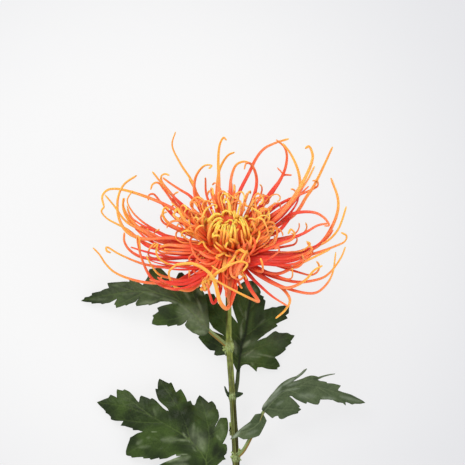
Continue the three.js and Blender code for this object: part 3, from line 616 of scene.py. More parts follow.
class Pattern:
    """A straight template's mesh as plain arrays, ready to be laid along many routes."""

    def __init__(self, obj):
        activate(obj)
        mesh = obj.data
        self.places = np.array([vert.co for vert in mesh.vertices])
        self.faces = [tuple(face.vertices) for face in mesh.polygons]
        heights = self.places[:, 2]
        self.levels = np.unique(np.round(heights, 5))
        self.ring = np.searchsorted(self.levels, np.round(heights, 5))
        angle = np.arctan2(self.places[:, 0], self.places[:, 1])
        self.around = np.abs(angle) / math.pi
        bpy.data.objects.remove(obj, do_unlink=True)

    @property
    def rings(self):
        return len(self.levels)


class Growth:
    """Gathers copies of patterns, each laid along its own route, into one mesh."""

    def __init__(self):
        self.places, self.faces, self.uvs, self.marks = [], [], [], {}
        self.count = 0

    def lay(self, pattern, route, girth, up, twist=0.0, bend_weight=4.0, **marks):
        """Lays a copy of the pattern along the route. girth gives its radius at shares of the length, and
        each mark gives a value at those shares and shares of the way round."""
        points, shares, _ = rings_along(route, pattern.rings, bend_weight)
        sides, tops = frames_along(points, up)
        turn = np.radians(twist) * shares
        cos, sin = np.cos(turn)[:, None], np.sin(turn)[:, None]
        sides, tops = sides * cos + tops * sin, tops * cos - sides * sin
        radii = girth(shares)
        r = pattern.ring
        laid = (points[r] + sides[r] * (pattern.places[:, 0] * radii[r])[:, None]
                + tops[r] * (pattern.places[:, 1] * radii[r])[:, None])
        laid[:, 2] = np.maximum(laid[:, 2], 0)
        self.places.append(laid)
        self.faces += [tuple(i + self.count for i in face) for face in pattern.faces]
        self.count += len(laid)
        self.uvs.append(np.stack([shares[r], pattern.around], axis=1))
        for name, value in marks.items():
            self.marks.setdefault(name, []).append(value(shares[r], pattern.around) * np.ones(len(r)))

    def mesh(self, name):
        """The gathered mesh as a new object, with its UV map and its marks as attributes."""
        places = np.concatenate(self.places) * MM
        return object_of(name, places, self.faces, np.concatenate(self.uvs),
                         {key: np.concatenate(values) for key, values in self.marks.items()})


def object_of(name, places, faces, uvs, marks):
    """A new mesh object from places in metres, its faces, a UV place for each vertex and named marks."""
    mesh = bpy.data.meshes.new(name)
    mesh.from_pydata([tuple(place) for place in places], [], faces)
    corners = np.empty(len(mesh.loops), dtype=np.int32)
    mesh.loops.foreach_get("vertex_index", corners)
    layer = mesh.uv_layers.new(name="Along")
    layer.data.foreach_set("uv", uvs[corners].astype(np.float32).ravel())
    for key, values in marks.items():
        attribute = mesh.attributes.new(key, "FLOAT", "POINT")
        attribute.data.foreach_set("value", values.astype(np.float32))
    mesh.validate()
    obj = bpy.data.objects.new(name, mesh)
    bpy.context.collection.objects.link(obj)
    return obj


def tie(obj, cad_node, slot, *materials):
    """Gives a piece its materials, and ties it to the frame."""
    obj.data.materials.clear()
    for material in materials:
        obj.data.materials.append(material)
    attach(obj, "root")
    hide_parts(cad_node)
    deselect_all()


def finish_piece(obj, cad_node, slot, material, sharp_from=None):
    """Turns a piece's faces outwards, shades it and ties it to the frame. Edges that bend by more than
    sharp_from degrees stay sharp."""
    activate(obj)
    bpy.ops.object.mode_set(mode="EDIT")
    bpy.ops.mesh.select_all(action="SELECT")
    bpy.ops.mesh.normals_make_consistent(inside=False)
    bpy.ops.object.mode_set(mode="OBJECT")
    if sharp_from is None:
        bpy.ops.object.shade_smooth()
    else:
        bpy.ops.object.shade_smooth_by_angle(angle=math.radians(sharp_from))
    tie(obj, cad_node, slot, material)


def spun(name, profile, steps):
    """A body turned on the flower's own axis from a profile of radius and height above the heart."""
    deselect_all()
    bpy.ops.mesh.primitive_circle_add(vertices=3, radius=1)
    body = bpy.context.active_object
    body.name = name
    bpy.ops.object.mode_set(mode="EDIT")
    bpy.ops.mesh.delete(type="VERT")
    mesh = bmesh.from_edit_mesh(body.data)
    verts = [mesh.verts.new(Vector(on_flower(r, 0, up) * MM)) for r, up in profile]
    edges = [mesh.edges.new(pair) for pair in zip(verts, verts[1:])]
    for edge in edges:
        edge.select_set(True)
    bmesh.update_edit_mesh(body.data)
    bpy.ops.mesh.spin(steps=steps, angle=2 * math.pi, center=tuple(HEART * MM), axis=tuple(FACE))
    bpy.ops.mesh.select_all(action="SELECT")
    bpy.ops.mesh.remove_doubles(threshold=1e-6)
    bpy.ops.mesh.normals_make_consistent(inside=False)
    bpy.ops.object.mode_set(mode="OBJECT")
    return body


def joined(objs, name):
    """One object from one or several."""
    activate(objs[0])
    if len(objs) > 1:
        for obj in objs[1:]:
            obj.select_set(True)
        bpy.ops.object.join()
    whole = bpy.context.active_object
    whole.name = whole.data.name = name
    return whole


# ---------- materials ----------


def node(tree, kind, inputs=None, **attributes):
    """Adds a shader node, sets its attributes, and links or sets its inputs."""
    made = tree.nodes.new(kind)
    for key, value in attributes.items():
        setattr(made, key, value)
    for key, value in (inputs or {}).items():
        if isinstance(value, bpy.types.NodeSocket):
            tree.links.new(value, made.inputs[key])
        else:
            made.inputs[key].default_value = value
    return made


# The Mix node's sockets for a colour. They share their names with those for values, so they go by number.
MIX_FACTOR, MIX_FIRST, MIX_SECOND, MIX_RESULT = 0, 6, 7, 2


def mixed(tree, factor, first, second, blend="MIX"):
    """A colour between two others."""
    made = node(tree, "ShaderNodeMix", data_type="RGBA", blend_type=blend,
                inputs={MIX_FACTOR: factor, MIX_FIRST: first, MIX_SECOND: second})
    return made.outputs[MIX_RESULT]


def ranged(tree, value, low, high, to_low=0.0, to_high=1.0):
    """A value taken smoothly from one range to another, and held inside it."""
    made = node(tree, "ShaderNodeMapRange", {"Value": value, "From Min": low, "From Max": high,
                                             "To Min": to_low, "To Max": to_high},
                interpolation_type="SMOOTHSTEP")
    return made.outputs["Result"]


def maths(tree, operation, first, second):
    """Arithmetic on two values."""
    made = node(tree, "ShaderNodeMath", {0: first, 1: second}, operation=operation)
    return made.outputs[0]


def times(tree, first, second):
    """The product of two values."""
    return maths(tree, "MULTIPLY", first, second)


def mark(tree, name):
    """A value that the piece carries in an attribute."""
    return node(tree, "ShaderNodeAttribute", attribute_name=name).outputs["Fac"]


def new_group(name, inputs, outputs):
    """An empty node group with its sockets, and its input and output nodes."""
    group = bpy.data.node_groups.new(name, "ShaderNodeTree")
    for label, kind, value in inputs:
        socket = group.interface.new_socket(label, in_out="INPUT", socket_type=kind)
        socket.default_value = value
    for label, kind in outputs:
        group.interface.new_socket(label, in_out="OUTPUT", socket_type=kind)
    return group, group.nodes.new("NodeGroupInput"), group.nodes.new("NodeGroupOutput")


STREAK_SPREAD = 37.0  # how far apart in the noise two petals of different tone lie
FAINT, FULL = 0.32, 0.68  # the noise where a soft patch starts and where it is full


def streaks_group():
    """Fine streaks along a petal, a stalk or a stem, from its own UV map."""
    if "Lengthwise streaks" in bpy.data.node_groups:
        return bpy.data.node_groups["Lengthwise streaks"]
    group, into, out = new_group(
        "Lengthwise streaks",
        [("Along", "NodeSocketFloat", 2.0), ("Around", "NodeSocketFloat", 12.0),
         ("Sharpness", "NodeSocketFloat", 0.2)],
        [("Mask", "NodeSocketFloat")])
    place = node(group, "ShaderNodeUVMap", uv_map="Along").outputs["UV"]
    split = node(group, "ShaderNodeSeparateXYZ", {0: place})
    u = times(group, split.outputs["X"], into.outputs["Along"])
    v = times(group, split.outputs["Y"], into.outputs["Around"])
    seed = times(group, mark(group, "tone"), STREAK_SPREAD)
    where = node(group, "ShaderNodeCombineXYZ", {"X": u, "Y": v, "Z": seed}).outputs[0]
    noise = node(group, "ShaderNodeTexNoise",
                 {"Vector": where, "Scale": 1.0, "Detail": 3.0, "Roughness": 0.6})
    low = maths(group, "SUBTRACT", 0.5, into.outputs["Sharpness"])
    high = maths(group, "ADD", 0.5, into.outputs["Sharpness"])
    mask = ranged(group, noise.outputs["Fac"], low, high)
    group.links.new(mask, out.inputs["Mask"])
    return group


def mottle_group():
    """Soft patches and a fine grain in the piece's own space."""
    if "Soft mottle" in bpy.data.node_groups:
        return bpy.data.node_groups["Soft mottle"]
    group, into, out = new_group(
        "Soft mottle",
        [("Patch scale", "NodeSocketFloat", 90.0), ("Grain scale", "NodeSocketFloat", 1600.0)],
        [("Patches", "NodeSocketFloat"), ("Grain", "NodeSocketFloat")])
    place = node(group, "ShaderNodeTexCoord").outputs["Object"]
    patches = node(group, "ShaderNodeTexNoise",
                   {"Vector": place, "Scale": into.outputs["Patch scale"], "Detail": 2.0})
    grain = node(group, "ShaderNodeTexNoise",
                 {"Vector": place, "Scale": into.outputs["Grain scale"], "Detail": 2.0})
    group.links.new(ranged(group, patches.outputs["Fac"], FAINT, FULL), out.inputs["Patches"])
    group.links.new(grain.outputs["Fac"], out.inputs["Grain"])
    return group


def streaks(tree, along, around, sharpness):
    """The mask of lengthwise streaks: how many along and around, and how sharp."""
    inputs = {"Along": along, "Around": around, "Sharpness": sharpness}
    return node(tree, "ShaderNodeGroup", node_tree=streaks_group(), inputs=inputs).outputs["Mask"]


def mottle(tree, patch_scale, grain_scale):
    """The patches and the grain of the soft mottle at their own scales."""
    inputs = {"Patch scale": patch_scale, "Grain scale": grain_scale}
    placed = node(tree, "ShaderNodeGroup", node_tree=mottle_group(), inputs=inputs)
    return placed.outputs["Patches"], placed.outputs["Grain"]


def new_material(name, roughness, specular=0.5):
    """A material with its main shader, whose even values are set on the shader's own sockets."""
    material = bpy.data.materials.new(name)
    material.use_nodes = True
    tree = material.node_tree
    tree.nodes.clear()
    shader = node(tree, "ShaderNodeBsdfPrincipled", {"Roughness": roughness, "Specular IOR Level": specular})
    output = node(tree, "ShaderNodeOutputMaterial")
    tree.links.new(shader.outputs["BSDF"], output.inputs["Surface"])
    return material, tree, shader


def bumped(tree, shader, height, strength, distance):
    """Joins a height to the shader's normal."""
    bump = node(tree, "ShaderNodeBump", {"Height": height, "Strength": strength, "Distance": distance})
    tree.links.new(bump.outputs["Normal"], shader.inputs["Normal"])


PETAL_GLOW = 0.6  # how much of a petal's light comes from inside it
PETAL_GLOW_DEPTH = 0.0015  # metres that light travels inside a petal
PETAL_GLOW_SPREAD = (1.0, 0.45, 0.2)  # shares of that way for red, green and blue
PETAL_STREAKS, PETAL_PATCHES = 0.12, 0.1  # how far streaks and patches shift a petal's ripeness


def petal_material(name, *colours):
    """A satin petal that ripens from its root colour through the middle one to the tip's."""
    root, middle, tip = (tuple(colour) for colour in colours)
    material, tree, shader = new_material(name, roughness=0.42, specular=0.28)
    shader.inputs["Subsurface Weight"].default_value = PETAL_GLOW
    shader.inputs["Subsurface Radius"].default_value = PETAL_GLOW_SPREAD
    shader.inputs["Subsurface Scale"].default_value = PETAL_GLOW_DEPTH
    lines = streaks(tree, along=2.5, around=9.0, sharpness=0.22)
    patches, _ = mottle(tree, 140.0, 2600.0)
    ripe = mark(tree, "ripeness")
    shift = times(tree, maths(tree, "SUBTRACT", lines, 0.5), PETAL_STREAKS)
    patch = times(tree, maths(tree, "SUBTRACT", patches, 0.5), PETAL_PATCHES)
    ripe = maths(tree, "ADD", maths(tree, "ADD", ripe, shift), patch)
    colour = mixed(tree, ranged(tree, ripe, 0.0, 0.5), root, middle)
    colour = mixed(tree, ranged(tree, ripe, 0.45, 1.0), colour, tip)
    tree.links.new(colour, shader.inputs["Base Color"])
    bumped(tree, shader, lines, 0.25, 0.0002)
    return material


# Painted shade of a leaf, where its deep mark says: beside the veins, along a fold's crease and in streaks.
PAINTED_SHADE_GREEN = 0.42  # how light the green beside a vein is, as a share of a dark patch
PAINTED_SHADE_SHARE = 0.85  # how far the green gives way to it there
# Painted highlights on a leaf break up into specks.
PAINTED_HIGHLIGHT_LEAST = 0.65  # of a streak of gloss is left where it breaks up


def leaf_material(name, upper, shade, vein, pale, roughness, vein_share):
    """A leaf's skin: patches of darker green, painted shade beside the veins, along a fold's crease and in
    streaks, pale veins, painted highlights that break up into streaks, and a fine cell grain."""
    material, tree, shader = new_material(name, roughness, specular=0.16)
    patches, cells = mottle(tree, 75.0, 1500.0)
    colour = mixed(tree, patches, shade, upper)
    dark = tuple(PAINTED_SHADE_GREEN * channel for channel in shade[:3]) + (1.0,)
    # Painted shade where the deep mark says.
    colour = mixed(tree, times(tree, mark(tree, "deep"), PAINTED_SHADE_SHARE), colour, dark)
    grain = ranged(tree, cells, 0.3, 0.7, to_low=0.86, to_high=1.14)
    grey = node(tree, "ShaderNodeCombineXYZ", {0: grain, 1: grain, 2: grain}).outputs[0]
    colour = mixed(tree, 1.0, colour, grey, blend="MULTIPLY")
    # Painted highlights where the pale mark says, broken up by specks.
    specks, _ = mottle(tree, 420.0, 900.0)
    broken = maths(tree, "ADD", times(tree, specks, 1 - PAINTED_HIGHLIGHT_LEAST), PAINTED_HIGHLIGHT_LEAST)
    colour = mixed(tree, times(tree, mark(tree, "pale"), broken), colour, pale)
    colour = mixed(tree, times(tree, mark(tree, "vein"), vein_share), colour, vein)
    tree.links.new(colour, shader.inputs["Base Color"])
    bumped(tree, shader, maths(tree, "ADD", cells, specks), 0.35, 0.0003)
    return material


def stem_material():
    """The stem's skin: yellow-green above, browner with streaks lower down, painted shade down one side,
    paler on the knuckles, and pith inside."""
    chosen = settings().stem
    young, old, brown = (tuple(hue) for hue in (chosen.young_colour, chosen.old_colour, chosen.streak_and_shade_colour))
    material, tree, shader = new_material("stem_skin", roughness=0.6, specular=0.06)
    place = node(tree, "ShaderNodeUVMap", uv_map="Along").outputs["UV"]
    along = node(tree, "ShaderNodeSeparateXYZ", {0: place}).outputs["X"]
    lines = streaks(tree, along=7.0, around=7.0, sharpness=0.1)
    pale_lines = streaks(tree, along=16.0, around=17.0, sharpness=0.1)
    patches, grain = mottle(tree, 260.0, 1400.0)
    age = maths(tree, "ADD", along, times(tree, patches, 0.18))
    colour = mixed(tree, ranged(tree, age, 0.2, 0.55), young, old)
    browned = times(tree, lines, ranged(tree, along, 0.22, 0.5, to_low=0.4, to_high=0.85))
    colour = mixed(tree, browned, colour, brown)
    colour = mixed(tree, times(tree, pale_lines, 0.3), colour, tuple(chosen.collar_colour))
    # Painted shade down one side of the stem, towards the streak colour: the left near the top, the right
    # lower down. On a flap the same mark darkens its upper side.
    dim = ranged(tree, lines, 0.0, 0.7, to_low=0.6, to_high=0.95)
    colour = mixed(tree, times(tree, mark(tree, "flank"), dim), colour, brown)
    scraps, _ = mottle(tree, 800.0, 1400.0)
    torn = maths(tree, "ADD", times(tree, scraps, 0.85), 0.15)
    colour = mixed(tree, times(tree, mark(tree, "collar"), torn), colour, tuple(chosen.collar_colour))
    colour = mixed(tree, mark(tree, "pith"), colour, tuple(chosen.pith_colour))
    tree.links.new(colour, shader.inputs["Base Color"])
    bumped(tree, shader, maths(tree, "ADD", lines, grain), 0.45, 0.0004)
    return material


STALK_GREEN, STALK_RUST, STALK_DARK = light(104, 118, 62), light(132, 104, 34), light(48, 62, 28)


def stalk_material():
    """A leaf stalk's skin: green, with an orange-brown edge where its mark says so, or dark all over."""
    chosen = settings().stem
    material, tree, shader = new_material("stalk_skin", roughness=0.5, specular=0.3)
    lines = streaks(tree, along=4.0, around=7.0, sharpness=0.2)
    colour = mixed(tree, times(tree, lines, 0.6), STALK_GREEN, tuple(chosen.collar_colour))
    colour = mixed(tree, mark(tree, "rust"), colour, STALK_RUST)
    colour = mixed(tree, mark(tree, "dark"), colour, STALK_DARK)
    tree.links.new(colour, shader.inputs["Base Color"])
    bumped(tree, shader, lines, 0.3, 0.0003)
    return material


# ---------- petals ----------


ROOT_GIRTH, SWELLING = 0.4, 3  # how full a petal is at its root, and how fast it fills out
THINS_FROM, THINS_TO = 0.36, 1.12  # shares of the length between which it thins towards its tip
CAP_FROM, CAP_GIRTH = 0.995, 0.55  # its last ring is drawn in, which rounds the tip


def ray_girth(full, tip, share):
    """Radius along a petal: narrow at the root, full along the middle and fine at the tip. share makes the
    whole petal thinner or thicker."""
    def girth(u):
        body = np.minimum(1, ROOT_GIRTH + SWELLING * u) * (1 - smooth(u, THINS_FROM, THINS_TO))
        rounded = np.where(u > CAP_FROM, CAP_GIRTH, 1.0)
        return share * (tip + (full - tip) * body) * rounded
    return girth


def smooth(value, low, high):
    """0 below low, 1 above high, and a smooth step between."""
    share = np.clip((value - low) / (high - low), 0, 1)
    return share * share * (3 - 2 * share)


BACK_RIPER = 0.14  # how much riper a petal's back is than its groove
SLOW_PART, QUICK_PART = 0.45, 0.55  # of the ripening come slowly before the turn, and quickly at it


def ripening(turn, peak, base):
    """How ripe a petal is along its length: it turns from root colour to gold around turn."""
    def ripe(u, around):
        slow = smooth(u, turn - 0.55, turn + 0.05)
        quick = smooth(u, turn - 0.12, turn + 0.3)
        rise = SLOW_PART * slow + QUICK_PART * quick
        return base + (peak - base) * rise + BACK_RIPER * (around - 0.5)
    return ripe


def grow_petals(name, pattern, rays, full, tip, seed, skin, slot, bend_weight=3.0):
    """Lays a petal along each ray and gathers them in one piece, which stands for the node of the slot's
    name. The higher bend_weight is, the more a petal's rings crowd where it bends."""
    growth = Growth()
    draw = dice(seed)
    for ray in rays:
        girth = ray_girth(full, tip, ray.girth * draw(0.88, 1.12))
        tone = draw(0, 1)
        growth.lay(pattern, ray.places, girth, FACE, twist=draw(-60, 60), bend_weight=bend_weight,
                   ripeness=ripening(ray.turn, peak=draw(0.85, 1.06), base=ray.base),
                   tone=lambda u, v, t=tone: t)
    finish_piece(growth.mesh(name), slot, slot, skin)


class MUM_OT_long_petals(bpy.types.Operator):
    """Grows the long petals"""

    bl_idname = "mum.long_petals"
    bl_label = "Long petals"

    def execute(self, context):
        chosen = settings().petals
        full, tip = chosen.long_girth / MM, chosen.tip_girth / MM
        pattern = Pattern(quill("long_petal", 9, 54, chosen.groove))
        skin = petal_material("long_petal_skin", chosen.root_colour, chosen.middle_colour, chosen.tip_colour)
        rays = [tucked_in(ray) for ray in long_rays()] + seen_rays(SIDE_COMPANIONS)
        grow_petals("petals_long", pattern, rays, full, tip, 7, skin, "ray_petals_long", bend_weight=4.0)
        return {"FINISHED"}


# Petals with places of their own, in groups round the head. Each is the share of its length where red turns
# gold, how ripe its root is, its girth as a share of the piece's own, how far it rises out of the face, and
# the places that it passes as they look from above: across, and along the stem towards the flower.
LEFT_CURLS = [
    (0.45, 0.35, 1.25, 16, [[-11.8, 5.5], [-13.6, 8.5], [-14, 12], [-13.1, 16], [-11.2, 18.6], [-8.8, 20.1],
     [-6.8, 20.4], [-6.1, 19.3], [-7.5, 18.3]]),
    (0.4, 0.3, 1, 16, [[-10.5, 7.5], [-9.8, 10.5], [-9.2, 12.5], [-8.1, 14.2], [-7.9, 16], [-8.5, 17.5],
     [-9.5, 17.6]]),
    (0.9, 0.2, 1, 15, [[-11.8, 10], [-13.8, 15], [-15.1, 18.5], [-15.8, 21.2], [-14.5, 22.6], [-12.2, 22.2],
     [-11.5, 20.5]]),
    (0.8, 0.2, 0.9, 16, [[-11.2, 11.2], [-12.5, 16], [-13.8, 18.5], [-13.9, 20.7], [-12.5, 22.5],
     [-10, 22.2], [-8, 21.3]]),
    (0.8, 0.25, 0.8, 14, [[-11.8, 8.5], [-14.5, 13], [-17.2, 16.5], [-20, 19.2], [-20.6, 21.5], [-19.5, 23],
     [-17.9, 23.2], [-17.4, 22]]),
    (0.75, 0.25, 0.8, 13, [[-13.2, 7], [-16.8, 10.5], [-19.5, 14], [-20.5, 16.5], [-21.8, 18.2],
     [-23.2, 17.7], [-24, 15.5], [-23.9, 13.5]]),
    (0.7, 0.3, 0.9, 13, [[-11.2, 6], [-13.2, 11], [-14.8, 14.7], [-16.4, 16.3], [-17.4, 15.2], [-17.1, 13],
     [-15.8, 11.2]]),
    (0.7, 0.3, 1.7, 12, [[-13.8, 4.5], [-18.8, 8], [-22.8, 11], [-25.8, 15.2], [-27.5, 17.7], [-28.9, 17.7],
     [-28.8, 16.2]]),
    (0.75, 0.3, 1.3, 11, [[-14.2, 4], [-19.2, 7.2], [-23.8, 10.5], [-27, 12.5], [-29.2, 14], [-29.9, 15.2],
     [-29, 16]]),
    (0.5, 0.3, 1, 12, [[-12.5, -0.5], [-15, 1.7], [-18.2, 4.2], [-20.2, 7.5], [-21.2, 11], [-21.4, 13],
     [-22.2, 14], [-23.4, 13.6], [-23.5, 12.2]]),
    (0.65, 0.3, 0.8, 11, [[-13.2, 1], [-18.2, 4.5], [-22.2, 6.7], [-24.2, 10], [-24.5, 13.5], [-23.9, 16.5],
     [-22.2, 18.2], [-20.8, 17.8]]),
    (0.5, 0.3, 0.8, 9, [[-13.2, 0], [-16.2, 1.5], [-19.8, 4.2], [-21.8, 6], [-22.4, 7.8], [-21.5, 8.7],
     [-20.5, 8]]),
    (0.7, 0.3, 0.8, 6, [[-13.2, -0.8], [-16.8, 0.2], [-20.8, 0.7], [-23.8, 2.5], [-25.5, 4.7], [-26.2, 6],
     [-24.8, 7], [-23.5, 6.2]]),
    (0.75, 0.3, 0.8, 6, [[-13.8, -1.5], [-20.2, -0.8], [-25, -0.3], [-27.8, 1.2], [-28.6, 3.2], [-28, 5.5],
     [-25.8, 6.2], [-23, 5.5], [-23.2, 3.5], [-24.5, 2.1]]),
    (0.85, 0.2, 0.8, 12, [[-11.2, 6.5], [-16.8, 10.2], [-21.8, 14], [-25.8, 17.5], [-28.5, 19.5],
     [-31.4, 21.8]]),
    (1, 0.25, 1.2, 11, [[-10.8, 3.7], [-13.2, 8.5], [-15.8, 12.2], [-18.2, 15.2], [-19.8, 16.5]]),
    (1, 0.2, 1.3, 10, [[-10.8, 2.5], [-13.8, 6.5], [-16.8, 9.5], [-19.2, 12.2], [-20.8, 13.5]]),
    (0.9, 0.2, 1.2, 9, [[-11.8, 1], [-14.8, 4.2], [-18.2, 6.7], [-21, 8.5], [-22.8, 9]]),
    (0.8, 0.25, 0.8, 8, [[-13.2, 0.5], [-18.2, 3], [-21.8, 4.5], [-24.2, 6.7], [-25.8, 9], [-27.2, 10],
     [-27.8, 8.5], [-27, 7.2]]),
    (0.9, 0.2, 0.9, 9, [[-13.2, 2.5], [-18.2, 6], [-22.2, 9.5], [-24.8, 12], [-26.2, 13.5], [-27.2, 12.5],
     [-26.2, 11.2]]),
]
FAR_CURLS = [
    (0.75, 0.25, 1, 17, [[-2.5, 13.5], [-3.5, 18.5], [-4.9, 22.5], [-5.2, 25.7], [-4.2, 27.7], [-2.5, 27.7],
     [-1.1, 26.5], [-0.8, 24.2], [-2, 22.2]]),
    (0.6, 0.3, 0.8, 18, [[-1.8, 15], [-2.5, 18.5], [-3.2, 21.5], [-3.8, 24.2], [-2.8, 26.2], [-0.8, 26.7],
     [0.2, 25]]),
    (0.3, 0.5, 1.2, 19, [[1.6, 14], [1.1, 17.5], [0.7, 20.5], [-0.1, 22.8], [-1.4, 23.6], [-2.2, 22.5],
     [-1.6, 21.2]]),
    (0.35, 0.45, 1, 19, [[4.7, 12.5], [5.2, 14.5], [5.6, 16.5], [6.4, 19.2], [7, 21.1], [7.8, 20.7]]),
    (0.65, 0.3, 0.7, 17, [[1.9, 17], [2.1, 21.7], [3.1, 24.5], [4.5, 26.5], [6.3, 27.5], [7.7, 27.5],
     [8.7, 26.2], [9, 24.5], [8.5, 22.6]]),
    (1, 0.2, 1, 16, [[3.1, 13.5], [3.5, 17.5], [3.9, 21.5], [5.2, 22.8], [6.7, 22.3], [6.9, 21]]),
    (0.9, 0.2, 1.1, 16, [[5.7, 13], [7.7, 16], [8.5, 18.7], [8.5, 20.7], [9.4, 21.5], [9.9, 20],
     [11.3, 19.6]]),
    (0.9, 0.25, 1, 17, [[0.4, 15], [-0.1, 18.5], [0.4, 22.5], [1.1, 25], [0.4, 26.5], [-1.1, 26.6],
     [-2.1, 25.7]]),
    (0.8, 0.25, 1, 17, [[2.6, 14], [2.4, 17.5], [2.1, 20.7], [2.6, 23.5], [2.1, 25.2], [0.6, 25.2]]),
    (0.9, 0.2, 0.9, 17, [[0.4, 14.5], [1.4, 18.5], [2.1, 22.5], [3.6, 24.2], [4.7, 23.7]]),
    (0.45, 0.4, 0.8, 18, [[3.4, 13.5], [2.9, 15.5], [2.1, 16.5], [1.1, 16.2]]),
    (1, 0.15, 0.9, 16, [[6.4, 13.5], [6.9, 16.5], [7.2, 19.5], [6.4, 21.2], [5.4, 21]]),
]
RIGHT_CURLS = [
    (0.7, 0.3, 1.1, 16, [[12.9, 10], [13.9, 15], [13, 19.5], [13.3, 22.5], [14.9, 25.7], [16.6, 26.8],
     [18.5, 25.3], [19.4, 23.3], [18.6, 21.3], [16.9, 20.6]]),
    (0.8, 0.25, 1, 15, [[12.9, 8.5], [14.9, 13.5], [15.4, 18.5], [14.9, 22], [15.9, 24.2], [17.6, 24.2],
     [18.1, 22.5]]),
    (0.6, 0.3, 1.1, 15, [[13.9, 7.5], [16.4, 11], [16.9, 14], [16.1, 16.2], [14.9, 17.6], [13.3, 18.5],
     [13, 17.2]]),
    (0.55, 0.3, 0.8, 14, [[14.4, 6], [16.1, 11], [16, 14.5], [16.5, 17.2], [18.3, 18.6], [20.5, 18.6],
     [22.2, 17.3], [22.8, 14.7], [22.6, 11.7]]),
    (0.8, 0.25, 0.75, 13, [[14.9, 6], [17.4, 11], [19.1, 17], [20.4, 22], [22.8, 24.6], [25.4, 26.2],
     [27.4, 26.2], [28.8, 24.6], [28.1, 22.8], [27, 22.4]]),
    (0.45, 0.3, 1, 12, [[15.2, 5], [18.6, 10], [21.4, 15], [23.3, 18], [24.6, 20.2], [25.9, 21.8]]),
    (0.8, 0.2, 1, 14, [[13.9, 7.5], [16.4, 12.5], [17.9, 16.5], [18.4, 18], [19.6, 17.5], [19.9, 15.5]]),
    (0.55, 0.3, 0.9, 10, [[12.9, 1.5], [14.9, 4.5], [14.9, 7.5], [16.1, 9.2], [18, 9.7], [19.4, 8.6],
     [18.9, 7.2]]),
    (0.3, 0.3, 1.1, 11, [[12.9, -3], [15.4, -0.3], [16.7, 2.5], [17.3, 4.8], [16.4, 6.5], [15, 6.1]]),
    (0.75, 0.2, 1, 8, [[14.9, -2.5], [19.4, 1.5], [22.9, 4], [24.9, 6], [24.6, 8.2], [22.9, 9.2],
     [21.1, 9.2]]),
    (0.8, 0.2, 1, 7, [[16.4, -3.3], [21.4, -2.5], [25.1, -0.8], [26.6, 2.5], [27.1, 5.7], [25.8, 7.8],
     [23.5, 8.9], [22.1, 8.1]]),
    (0.9, 0.15, 1.1, 9, [[14.4, -0.8], [17.9, 3], [20.9, 6], [22.9, 8.5], [23.9, 10]]),
    (0.8, 0.2, 1, 8, [[15.4, -2.3], [19.4, 0], [22.6, 3], [24.1, 5.2], [23.4, 6.2], [21.9, 5.5]]),
    (1, 0.15, 1.3, 11, [[12.4, 4.5], [13.4, 8.7], [13.9, 12.5], [14.5, 15.5]]),
    (1, 0.2, 1.3, 11, [[13.4, 5.5], [14.9, 9], [15.9, 12], [16.4, 14.5]]),
    (0.95, 0.15, 1.1, 11, [[13.9, 3.5], [16.4, 7.5], [18.9, 10.5], [20.6, 13.5], [21.4, 15.5]]),
    (0.9, 0.2, 1, 11, [[14.4, 2.5], [17.4, 6], [19.9, 9.5], [22.1, 12], [22.9, 13.5], [22.1, 14.5]]),
    (0.35, 0.3, 0.7, 10, [[10.9, -2.5], [12.2, 0.7], [12.9, 3], [12.3, 4.7]]),
    (0.8, 0.2, 0.7, 8, [[10.7, -7.2], [12.9, -5.4], [14.3, -3.4], [14.9, -0.9], [14.5, 1.4], [13.9, 3.4],
     [12.9, 3.6]]),
    (0.9, 0.15, 0.9, 7, [[11.9, -6.4], [15.9, -3.9], [19.4, -1.9], [21.9, 0.4], [22.9, 2.6], [22.4, 4.1],
     [20.9, 4.3]]),
    (0.9, 0.15, 0.8, 6, [[12.9, -7.2], [17.9, -4.9], [21.4, -2.6], [23.9, -0.1], [25.4, 2.1], [25.1, 3.9],
     [23.9, 4.1]]),
]
